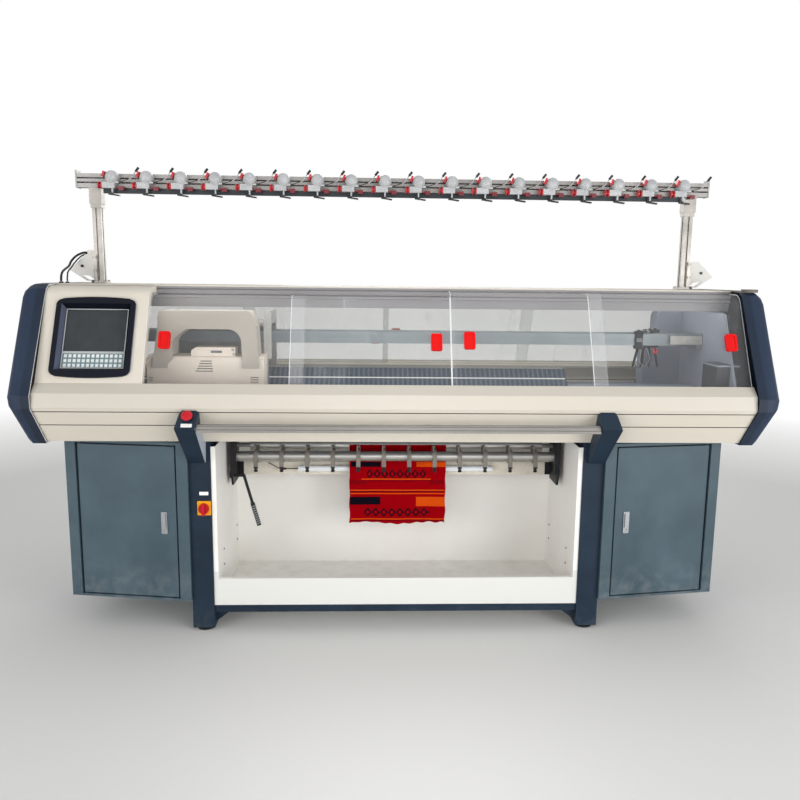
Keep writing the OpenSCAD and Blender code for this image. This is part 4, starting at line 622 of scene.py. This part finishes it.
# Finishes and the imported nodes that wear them
finishNodes = {
    "legPaint": "left_leg_frame right_leg_frame bottom_beams",
    "beltRubber": "levelling_feet drive_belt",
    "framePaint": "bed_frame",
    "capPlastic": "left_end_cap right_end_cap",
    "shellPaint": "front_fascia rear_fascia",
    "topPaint": "top_beam",
    "innerShellPaint": "control_cover",
    "bezelPlastic": "screen_bezel",
    "displayGlass": "display",
    "keyMembrane": "keypad",
    "doorAcrylic": "front_door_left front_door_right",
    "handlePlastic": "left_door_handles right_door_handles knitted_piece",
    "rearAcrylic": "rear_door_left rear_door_right",
    "bedSteel": "front_needle_bed rear_needle_bed",
    "railSteel": "yarn_rails carriage_rails",
    "profileAluminium": "carriage takedown_roller pressure_shaft",
    "housingPaint": "carriage_cover",
    "bowPaint": "carriage_bow",
    "blackCoat": "yarn_feeder_1 yarn_feeder_2 yarn_feeder_3 yarn_feeder_4 drive_motor release_lever",
    "groundSteel": "drive_pulley idler_pulley left_latch right_latch",
    "armPlastic": "pressure_arms",
    "takedownPaint": "takedown_frame",
    "lampTube": "lamp_tube",
    "binEnamel": "fabric_bin",
    "cabinetPaint": "left_cabinet right_cabinet left_cabinet_door right_cabinet_door",
    "armPaint": "left_arm right_arm",
    "barAluminium": "start_bar",
    "knobRed": "emergency_button switch_knob",
    "switchYellow": "switch_plate",
    "beamAluminium": "yarn_beam",
    "postAluminium": "stand_posts",
    "unitPlastic": "stop_units",
    "stopRed": "stop_caps",
    "blackPlastic": "stand_cables",
}
for finish, names in finishNodes.items():
    for name in names.split():
        mesh = nodes[name].data
        mesh.materials.clear()
        mesh.materials.append(finishes[finish])
print("finishes set on", sum(len(names.split()) for names in finishNodes.values()), "nodes")


# Points on a circle of the given radius round an axis that runs through the point at
def ringRound(at, side, other, radius, sides):
    turns = [2 * math.pi * k / sides for k in range(sides)]
    return [at + (side * math.cos(t) + other * math.sin(t)) * radius for t in turns]


# Collects tubes, turned forms and cut plates into one piece
class Shape:
    def __init__(self):
        self.points, self.faces = [], []

    def rings(self, loops):
        start, count = len(self.points), len(loops[0])
        last = start + (len(loops) - 1) * count
        for loop in loops:
            self.points.extend(loop)
        for row in range(start, last, count):
            for k in range(count):
                a, b = row + k, row + (k + 1) % count
                self.faces.append((a, b, b + count, a + count))
        self.faces.append(tuple(start + k for k in reversed(range(count))))
        self.faces.append(tuple(last + k for k in range(count)))
        return self

    def tube(self, line, radius, sides):
        line = [Vector(p) for p in line]
        loops, side = [], None
        for i, point in enumerate(line):
            ahead = (line[min(i + 1, len(line) - 1)] - line[max(i - 1, 0)]).normalized()
            side = ahead.orthogonal() if side is None else side - ahead * side.dot(ahead)
            side.normalize()
            loops.append(ringRound(point, side, ahead.cross(side), radius, sides))
        return self.rings(loops)

    def turned(self, at, axis, profile, sides):
        at, axis = Vector(at), Vector(axis).normalized()
        side = axis.orthogonal().normalized()
        other = axis.cross(side)
        return self.rings([ringRound(at + axis * height, side, other, r, sides) for r, height in profile])

    def screw(self, at, axis, radius, height):
        # Cap head with a hexagon socket
        r, h = radius, height
        return self.turned(at, axis, [
            (r, -h * 0.3), (r, h * 0.8), (r * 0.88, h), (r * 0.5, h), (r * 0.46, h * 0.4), (r * 0.02, h * 0.4)
        ], 12)

    def plate(self, at, across, up, size, thick, corner=0.001):
        # Flat plate with rounded corners and a small chamfer round its front
        at, across, up = Vector(at), Vector(across).normalized(), Vector(up).normalized()
        out = across.cross(up)
        chamfer, steps = 0.0004, 3

        def outline(shrink, height):
            w, h, r = size[0] / 2 - shrink, size[1] / 2 - shrink, max(corner - shrink, 0.0001)
            loop = []
            for cx, cy, start in ((w - r, h - r, 0), (r - w, h - r, 90), (r - w, r - h, 180), (w - r, r - h, 270)):
                for k in range(steps + 1):
                    t = math.radians(start + 90 * k / steps)
                    loop.append(at + across * (cx + r * math.cos(t)) + up * (cy + r * math.sin(t)) + out * height)
            return loop

        return self.rings([outline(0, 0), outline(0, thick - chamfer), outline(chamfer, thick)])

    def place(self, name, body, finish):
        # Faces that meet at less than 40 degrees are shaded as one smooth surface
        mesh = bpy.data.meshes.new(name)
        mesh.from_pydata(self.points, [], self.faces)
        work = bmesh.new()
        work.from_mesh(mesh)
        bmesh.ops.recalc_face_normals(work, faces=work.faces)
        work.to_mesh(mesh)
        work.free()
        mesh.shade_smooth()
        mesh.set_sharp_from_angle(angle=math.radians(40.0))
        mesh.materials.append(finishes[finish])
        piece = bpy.data.objects.new(name, mesh)
        scene.collection.objects.link(piece)
        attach(piece, body)
        return piece


def smoothLine(points, steps=4):
    # Catmull-Rom line through the points
    p = [Vector(q) for q in points]
    line = []
    for i in range(len(p) - 1):
        a, b, c, d = p[max(i - 1, 0)], p[i], p[i + 1], p[min(i + 2, len(p) - 1)]
        bend, twist = 2 * a - 5 * b + 4 * c - d, 3 * b - a - 3 * c + d
        for k in range(steps):
            t = k / steps
            line.append(0.5 * (2 * b + (c - a) * t + bend * t * t + twist * t ** 3))
    return line + [p[-1]]


def cordLine(points):
    # Smooth route of a cord from points in millimetres, and its length in metres
    line = smoothLine([(x / 1000, y / 1000, z / 1000) for x, y, z in points])
    return line, sum((b - a).length for a, b in zip(line, line[1:]))


# Two cables from the stand's gland block to the left end cap: radius in metres, route in millimetres
standCables = {
    "thick": (0.0045, [
        (-1297.5, 184, 1458), (-1318, 181, 1457), (-1334, 169, 1449), (-1343, 153, 1439), (-1348, 135, 1427),
        (-1349, 117, 1416), (-1347, 99, 1405), (-1345, 79, 1398), (-1343, 58, 1393), (-1340, 37, 1389),
        (-1337, 16, 1385), (-1334, -5, 1380), (-1331, -24, 1373), (-1328, -42, 1360), (-1327, -48, 1340.5),
    ]),
    "thin": (0.003, [
        (-1297.5, 176, 1451), (-1311, 173, 1449), (-1321, 165, 1443), (-1327, 156, 1435), (-1332, 145, 1427),
        (-1336, 135, 1418), (-1339, 123, 1410), (-1340, 112, 1402), (-1340, 99, 1396), (-1338, 86, 1392),
        (-1336, 72, 1389), (-1333, 58, 1386), (-1330, 45, 1383), (-1327, 32, 1380), (-1324, 18, 1376),
        (-1321, 5, 1371), (-1317, -6, 1364), (-1315, -16, 1354), (-1314, -19, 1340.5),
    ]),
}


def makeStandCables(setup):
    for name, (radius, points) in setup.items():
        line, length = cordLine(points)
        cable = Shape().tube(line, radius, 14).place("standCable" + name.capitalize(), "machine", "blackPlastic")
        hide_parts("stand_cables")


makeStandCables(standCables)
print("stand cables routed")

# Knitted piece: a sample with colour bands and rows of stepped diamonds, still hanging from the roller.
# Bands are low, high, left and right in metres and a tone; diamond rows have their spacing instead of the tone.
swatch = {
    "left": -0.194, "right": 0.209, "top": 0.680, "foot": 0.342, "depth": -0.0256, "wale": 0.0032, "course": 0.0024,
    "red": tone(176, 0, 14), "redShade": tone(150, 0, 12), "navy": tone(18, 14, 26), "orange": tone(232, 84, 16),
    "bands": [
        (0.585, 0.607, -0.190, -0.066, "navy"), (0.585, 0.607, 0.085, 0.212, "orange"),
        (0.5295, 0.5335, -0.145, 0.147, "orange"), (0.521, 0.5255, -0.2, 0.2, "navy"),
        (0.4815, 0.4855, -0.19, 0.205, "orange"), (0.4755, 0.4795, -0.19, 0.205, "navy"),
        (0.467, 0.472, -0.19, 0.205, "orange"), (0.421, 0.455, -0.195, -0.066, "navy"),
        (0.413, 0.455, 0.085, 0.220, "orange"), (0.3575, 0.3615, -0.19, 0.21, "orange"),
        (0.3505, 0.3545, -0.19, 0.21, "navy"),
    ],
    "diamonds": [
        (0.535, 0.574, -0.123, 0.133, 0.032), (0.368, 0.408, -0.133, 0.142, 0.034),
        (0.508, 0.521, -0.19, -0.13, 0.016), (0.508, 0.521, 0.14, 0.2, 0.016),
    ],
    "cells": (110, 96), "edgeWave": 0.0022, "hem": 0.004, "hemRipple": 0.0022, "hang": 0.0026, "fold": 0.0024,
    "foldRipple": 0.001, "sideCurl": 0.0035, "footCurl": 0.0045, "footLift": 0.0025,
}


def makeKnitFinish(setup):
    f = Finish("knitYarn")
    wale, course = setup["wale"], setup["course"]
    across, up = f.x.every(wale), f.z.every(course)
    lean = abs(across * (1 / wale) - 0.5)
    row = (f.z * (1 / course) + lean * 1.5).wave(1.0)
    height = (row * 0.5 + 0.5) * lean.ramp(0.5, 0.36) * lean.ramp(0.0, 0.12, 0.35, 1.0)
    # Colours change only from stitch to stitch
    stitchX, stitchZ = f.x - across, f.z - up

    def band(low, high, left, right):
        return (stitchZ > low) * (stitchZ < high) * (stitchX > left) * (stitchX < right)

    fuzz = f.patches(260.0, 4.0, 0.3, 0.75)
    colour = f.mix(fuzz, setup["red"], setup["redShade"])
    for low, high, left, right, name in setup["bands"]:
        colour = f.mix(band(low, high, left, right), colour, setup[name])
    for low, high, left, right, step in setup["diamonds"]:
        sideways = abs(stitchX.every(step) - step / 2) * (2 / step)
        spot = sideways + abs(stitchZ - (low + high) / 2) * (2 / (high - low))
        where = band(low, high, left, right)
        colour = f.mix(where * (spot < 1.0), colour, setup["navy"])
        colour = f.mix(where * (spot < 0.5), colour, setup["red"])
    # Painted shade: the colour darkens to half where the stitch surface sinks between the raised loops
    colour = f.mix(height.ramp(0.0, 0.6, 0.62, 1.0), f.mix(0.5, colour, (0, 0, 0)), colour)
    f.set(colour=colour, rough=fuzz * 0.1 + 0.85, gloss=0.03)
    f.bump(height, 0.0007, 0.8)


def makeSwatch(setup):
    wide, tall = setup["cells"]
    points, faces = [], []
    for j in range(tall + 1):
        v = j / tall
        free = v ** 1.5
        for i in range(wide + 1):
            u = i / wide
            edge = setup["edgeWave"] * math.sin(v * 23.0 + (0 if u < 0.5 else 1.3)) * abs(2 * u - 1) ** 3 * v
            ragged = setup["hem"] * math.sin(u * 9.0) + setup["hemRipple"] * math.sin(u * 47.0) * (0.4 + u)
            fold = setup["fold"] * math.sin(u * 13.0 + v * 2.0)
            fold += setup["foldRipple"] * math.sin(u * 31.0 + v * 5.0)
            sideCurl = max(0.0, 1 - min(u, 1 - u) / 0.035) ** 2 * free
            footCurl = max(0.0, 1 - (1 - v) / 0.05) ** 2
            curl = setup["sideCurl"] * sideCurl + setup["footCurl"] * footCurl
            points.append((
                setup["left"] + (setup["right"] - setup["left"]) * u + edge,
                setup["depth"] - free * (setup["hang"] + fold) - curl,
                setup["top"] + (setup["foot"] + ragged - setup["top"]) * v + setup["footLift"] * footCurl,
            ))
    for j in range(tall):
        for i in range(wide):
            a = j * (wide + 1) + i
            faces.append((a, a + 1, a + wide + 2, a + wide + 1))
    mesh = bpy.data.meshes.new("knittedSwatch")
    mesh.from_pydata(points, [], faces)
    mesh.shade_smooth()
    mesh.materials.append(finishes["knitYarn"])
    piece = bpy.data.objects.new("knittedSwatch", mesh)
    scene.collection.objects.link(piece)
    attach(piece, "machine")
    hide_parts("knitted_piece")
    setup["right"] - setup["left"]
    setup["top"] - setup["foot"]


makeKnitFinish(swatch)
makeSwatch(swatch)
print("knitted piece hung")

# Lead of the lamp, with its inline plug: routes in millimetres, the plug's profile in metres
lampLead = {
    "radius": 0.0016, "points": [
        (-538, 22.5, 590), (-528, 13, 589), (-516, 4, 586), (-504, 1, 580), (-494, 0, 574), (-480, 0, 570.5),
        (-460, 1, 570), (-440, 3, 570.5), (-424, 3.7, 571), (-411, 3.7, 571),
    ],
    "plug": ((-484, 0, 570.6), (24, 0, -0.5)), "profile": [
        (0.0022, 0), (0.0042, 0.001), (0.0042, 0.010), (0.0047, 0.0105), (0.0047, 0.0135), (0.0042, 0.014),
        (0.0042, 0.023), (0.0022, 0.024),
    ],
}


def makeLampLead(setup):
    line, length = cordLine(setup["points"])
    lead = Shape().tube(line, setup["radius"], 10).place("lampLead", "machine", "blackPlastic")
    at, run = (Vector(v) / 1000 for v in setup["plug"])
    plug = Shape().turned(at, run, setup["profile"], 14).place("lampPlug", "machine", "blackPlastic")


makeLampLead(lampLead)
print("lamp lead plugged in")

# Light frame round the display and the keys, measured up the cover from the sill
screenFrame = {
    "low": 0.0618, "join": 0.121, "high": 0.2882, "side": 0.1105, "wide": 0.2244, "line": 0.0034, "band": 0.008,
    "off": 0.0168, "proud": 0.002,
}


def makeScreenFrame(setup):
    low, high, line = setup["low"], setup["high"], setup["line"]
    bars = [(side * setup["side"], (low + high) / 2, line, high - low) for side in (-1, 1)]
    bars += [(0, v, setup["wide"], tall) for v, tall in ((low, line), (setup["join"], setup["band"]), (high, line))]
    shape = Shape()
    for x, v, wide, tall in bars:
        shape.plate(onCover(cover["bezelX"] + x, v, setup["off"]), (1, 0, 0), upCover, (wide, tall), setup["proud"])
    shape.place("screenFrame", "machine", "frameSilver")


makeScreenFrame(screenFrame)

# Edge strip of the control cover, at the doors
coverTrim = {"x": -0.9212, "low": 0.008, "high": 0.33, "wide": 0.0024, "thick": 0.0012, "off": 0.0002}


def makeCoverTrim(setup):
    at = onCover(setup["x"], (setup["low"] + setup["high"]) / 2, setup["off"])
    shape = Shape().plate(at, (1, 0, 0), upCover, (setup["wide"], setup["high"] - setup["low"]), setup["thick"])
    shape.place("coverTrim", "machine", "labelWhite")


makeCoverTrim(coverTrim)

# Needles: a hooked needle every centimetre on both beds, every second one raised, and the strip that holds them.
# The hook's points lie along the bed and off it.
needles = {
    "half": 0.694, "step": 0.010, "slope": 0.030, "gap": 0.0022, "top": 1.0, "reach": (0.0005, 0.0035),
    "stem": 0.0008, "wire": 0.0009, "hook": ((0.0005, 0.0016), (-0.0008, 0.003), (0.0008, 0.0045), (0.003, 0.0042)),
    "strip": 0.052, "stripSize": (1.388, 0.006), "stripThick": 0.0022,
}


def makeNeedles(setup):
    def onBed(x, side, along, off):
        slope = math.sqrt(0.5)
        return (x, side * (setup["gap"] + (along + off) * slope), setup["top"] - (along - off) * slope)

    for name, side in (("frontNeedles", -1), ("rearNeedles", 1)):
        hooks, stems = Shape(), Shape()
        for i in range(int(2 * setup["half"] / setup["step"]) + 1):
            x, reach = -setup["half"] + i * setup["step"], setup["reach"][i % 2]
            stem = [onBed(x, side, setup["slope"], 0.0012), onBed(x, side, 0.005 - reach, 0.0012)]
            stems.tube(stem, setup["stem"], 5)
            hook = [onBed(x, side, along - reach, off) for along, off in setup["hook"]]
            hooks.tube([stem[-1]] + hook, setup["wire"], 5)
        hooks.place(name + "Hooks", "machine", "labelWhite")
        stems.place(name, "machine", "bedSteel")
    at = onBed(0, -1, setup["strip"], 0)
    strip = Shape().plate(at, (1, 0, 0), (0, 1, 1), setup["stripSize"], setup["stripThick"])
    strip.place("needleStrip", "machine", "labelWhite")


makeNeedles(needles)

# Carriage: cap screws on the end plate and the housing, button slot and two studs on the raised box
carriageParts = {
    "plate": [(-0.5025, -0.150, z) for z in (1.058, 1.096, 1.134, 1.172, 1.210)],
    "housing": [(-0.945, -0.2402, 1.058), (-0.519, -0.2402, 1.058)],
    "studs": [(-0.632, -0.2248, 1.091), (-0.628, -0.2248, 1.074)],
    "stud": [(0.0048, -0.001), (0.0048, 0.003), (0.0036, 0.0042), (0.0004, 0.0044)],
    "slotAt": (-0.693, -0.2248, 1.083), "slotSize": (0.042, 0.0095),
}


def makeCarriageParts(setup):
    shape = Shape()
    for at in setup["plate"]:
        shape.screw(at, (0, -1, 0), 0.0032, 0.002)
    for at in setup["housing"]:
        shape.screw(at, (0, -1, 0), 0.0026, 0.0014)
    for at in setup["studs"]:
        shape.turned(at, (0, -1, 0), setup["stud"], 16)
    shape.place("carriageScrews", "carriage_unit", "screwSteel")
    slot = Shape().plate(setup["slotAt"], (1, 0, 0), (0, 0, 1), setup["slotSize"], 0.0012, 0.003)
    slot.place("carriageButton", "carriage_unit", "gripPlastic")


makeCarriageParts(carriageParts)

# Right end of the feeder rails: bright stop bar with two screws
railStop = {
    "left": 1.112, "right": 1.243, "y": -0.0681, "z": 1.129, "tall": 0.034, "thick": 0.004, "screws": (1.178, 1.225),
}


def makeRailStop(setup):
    shape = Shape().plate(
        ((setup["left"] + setup["right"]) / 2, setup["y"], setup["z"]), (1, 0, 0), (0, 0, 1),
        (setup["right"] - setup["left"], setup["tall"]), setup["thick"],
    )
    for x in setup["screws"]:
        shape.screw((x, setup["y"] - setup["thick"], setup["z"]), (0, -1, 0), 0.0065, 0.003)
    shape.place("railStop", "machine", "screwSteel")


makeRailStop(railStop)

# Emergency button's pale collar, the blank label under it and the blank one over the main switch
buttonParts = {
    "at": (-0.751, -0.4722, 0.8764), "out": (0, -0.794393, 0.607404), "up": (0, 0.607404, 0.794393),
    "collar": [(0.0134, 0.0001), (0.0134, 0.0011), (0.0122, 0.0016), (0.0098, 0.0016), (0.0094, 0.0001)],
    "labelDrop": 0.0335, "label": (0.039, 0.014), "switchAt": (-0.7365, -0.3152, 0.5535),
    "switchLabel": (0.034, 0.0135),
}


def makeButtonParts(setup):
    at, up = Vector(setup["at"]), Vector(setup["up"])
    Shape().turned(at, setup["out"], setup["collar"], 32).place("buttonCollar", "machine", "labelWhite")
    label = Shape().plate(at - up * setup["labelDrop"], (1, 0, 0), up, setup["label"], 0.0008, 0.002)
    label.place("buttonLabel", "machine", "labelWhite")
    label = Shape().plate(setup["switchAt"], (1, 0, 0), (0, 0, 1), setup["switchLabel"], 0.0008, 0.001)
    label.place("switchLabel", "machine", "labelWhite")


makeButtonParts(buttonParts)

# Countersunk screws in the bin's side walls
binScrews = {"x": 0.6869, "places": ((-0.205, 0.295), (-0.205, 0.232), (0.09, 0.295), (0.09, 0.232))}


def makeBinScrews(setup):
    screws = Shape()
    for side in (-1, 1):
        for y, z in setup["places"]:
            screws.screw((side * setup["x"], y, z), (-side, 0, 0), 0.0045, 0.0016)
    screws.place("binScrews", "machine", "gripPlastic")


makeBinScrews(binScrews)

# Lever grip: spiral of lighter tape round the lower half
leverGrip = {
    "from": (-0.5895, -0.0919, 0.4497), "to": (-0.562, -0.100, 0.357), "radius": 0.0092, "turns": 9, "tape": 0.0014,
    "start": 0.06, "share": 0.86,
}


def makeLeverGrip(setup):
    start, end = Vector(setup["from"]), Vector(setup["to"])
    axis = (end - start).normalized()
    side = axis.orthogonal().normalized()
    other = axis.cross(side)
    line = []
    count = setup["turns"] * 12
    for k in range(count + 1):
        t = 2 * math.pi * k / 12
        spot = start + (end - start) * (setup["start"] + setup["share"] * k / count)
        line.append(spot + (side * math.cos(t) + other * math.sin(t)) * setup["radius"])
    Shape().tube(line, setup["tape"], 6).place("leverTape", "lever", "frameSilver")


makeLeverGrip(leverGrip)

# Yarn feeders: a spring clamp, and two bowed wires with a coil and a loop above them on each. The bow's points
# are sideways, outward and height; the red hook hangs beside the last feeder.
feederParts = {
    "first": 0.985, "step": 0.036, "y": (-0.0672, -0.0312, 0.0312, 0.0672), "clamp": 1.128, "clampSize": (0.024, 0.016),
    "bow": (
        (0.006, 0, 1.098), (0.012, 0.004, 1.085), (0.019, 0.007, 1.062), (0.020, 0.007, 1.044),
        (0.012, 0.004, 1.026), (0.003, 0, 1.014),
    ),
    "coil": {"x": 0.010, "y": 0.0035, "z": 1.146, "radius": 0.004, "turn": 0.9, "rise": 0.0006, "points": 36},
    "loop": {"x": 0.009, "z": 1.158, "radius": 0.009, "turn": 0.5, "twist": 0.003, "points": 14},
    "hook": (
        (1.046, -0.070, 1.100), (1.047, -0.071, 1.086), (1.050, -0.071, 1.077), (1.056, -0.071, 1.076),
        (1.058, -0.070, 1.092),
    ),
}


def makeFeederParts(setup):
    coil, loop = setup["coil"], setup["loop"]

    def coilPoint(t, side):
        turn = t * coil["turn"]
        across = side * coil["x"] + coil["radius"] * math.cos(turn)
        return (across, coil["y"] + coil["radius"] * math.sin(turn), coil["z"] + t * coil["rise"])

    def loopPoint(t, side):
        turn = t * loop["turn"]
        across = side * (loop["x"] + loop["radius"] * math.cos(turn))
        return (across, loop["twist"] * math.sin(t), loop["z"] + loop["radius"] * math.sin(turn))

    for i, y in enumerate(setup["y"]):
        x, out = setup["first"] + i * setup["step"], -1 if y < 0 else 1
        wires = Shape()
        for side in (-1, 1):
            for line, radius, sides in (
                (smoothLine([(side * across, away, z) for across, away, z in setup["bow"]], 3), 0.0011, 6),
                ([coilPoint(t, side) for t in range(coil["points"])], 0.0007, 5),
                ([loopPoint(t, side) for t in range(loop["points"])], 0.0009, 5),
            ):
                wires.tube([(x + across, y + out * away, z) for across, away, z in line], radius, sides)
        wires.place("feederWires%d" % (i + 1), "feeder_%d" % (i + 1), "screwSteel" if i % 2 else "blackPlastic")
        clamp = Shape().plate((x, y - 0.0004, setup["clamp"]), (1, 0, 0), (0, 0, 1), setup["clampSize"], 0.003, 0.003)
        clamp.screw((x, y - 0.0034, setup["clamp"]), (0, -1, 0), 0.004, 0.002)
        clamp.place("feederClamp%d" % (i + 1), "feeder_%d" % (i + 1), "gripPlastic")
    Shape().tube(smoothLine(setup["hook"]), 0.0021, 8).place("feederHook", "machine", "handlePlastic")


makeFeederParts(feederParts)
print("screen frame, needles, carriage and feeder parts, labels and small fixings placed")

# Floor, background and light: a lamp has its place, what it points at, its size and its power
room = {
    "floor": tone(232, 232, 230), "floorHalf": 14.0, "clearFrom": 3.2, "clearTo": 6.0, "ambient": 0.46,
    "lamps": [
        ("topSoft", (0.0, -0.4, 4.2), (0, 0, 0.7), (4.0, 4.0), 10.0),
        ("frontLow", (-0.3, -5.2, 0.9), (0, 0, 0.45), (4.0, 4.0), 10.0),
        ("frontLeft", (-2.7, -2.8, 1.0), (0.6, 0, 0.35), (2.0, 2.0), 37.0),
        ("frontRight", (2.7, -2.8, 0.8), (-0.6, 0, 0.35), (2.0, 2.0), 64.0),
        ("binFill", (0.0, -1.5, 0.9), (0, 0.05, 0.2), (0.9, 0.9), 4.2),
        ("inside", (0.1, -0.05, 1.246), (0.1, -0.05, 0.5), (2.3, 0.42), 3.2),
        ("back", (0.5, 4.4, 2.6), (0, 0, 0.9), (3.0, 3.0), 60.0),
    ],
}


def makeFloor(setup):
    # Plain floor that clears to white in the distance, for the camera only
    half = setup["floorHalf"]
    mesh = bpy.data.meshes.new("floor")
    mesh.from_pydata([(-half, -half, 0), (half, -half, 0), (half, half, 0), (-half, half, 0)], [], [(0, 1, 2, 3)])
    floor = bpy.data.objects.new("floor", mesh)
    scene.collection.objects.link(floor)
    f = Finish("floorPaint")
    f.set(colour=setup["floor"], rough=0.7, gloss=0.2)
    away = (f.x * f.x + f.y * f.y) ** 0.5
    seen = f.node("ShaderNodeLightPath", output="Is Camera Ray")
    white = f.node("ShaderNodeEmission", {}, {"Color": (1, 1, 1), "Strength": 1.0})
    clear = away.ramp(setup["clearFrom"], setup["clearTo"]) * seen
    f.feed(f.output.inputs["Surface"], f.node("ShaderNodeMixShader", {}, {0: clear, 1: f.surface, 2: white}))
    mesh.materials.append(f.material)


def makeSky(setup):
    # White to the camera, in reflections and through clear sheets, and a softer light on everything else
    world = scene.world = bpy.data.worlds.new("studio")
    world.use_nodes = True
    sky = Tree(world.node_tree)
    camera, through, mirrored = (
        sky.node("ShaderNodeLightPath", output="Is %s Ray" % kind) for kind in ("Camera", "Transmission", "Glossy")
    )
    level = camera.most(through).most(mirrored).ramp(0.0, 1.0, setup["ambient"], 1.0)
    light = sky.node("ShaderNodeBackground", {}, {"Color": (1, 1, 1), "Strength": level})
    sky.node("ShaderNodeOutputWorld", {}, {"Surface": light})


def makeLamps(setup):
    for name, place, aim, size, power in setup["lamps"]:
        data = bpy.data.lights.new(name, "AREA")
        data.shape = "RECTANGLE"
        data.size, data.size_y = size
        data.energy = power
        lamp = bpy.data.objects.new(name, data)
        lamp.location = place
        lamp.rotation_euler = (Vector(aim) - Vector(place)).to_track_quat("-Z", "Y").to_euler()
        scene.collection.objects.link(lamp)


makeFloor(room)
makeSky(room)
makeLamps(room)
print("floor and light placed")
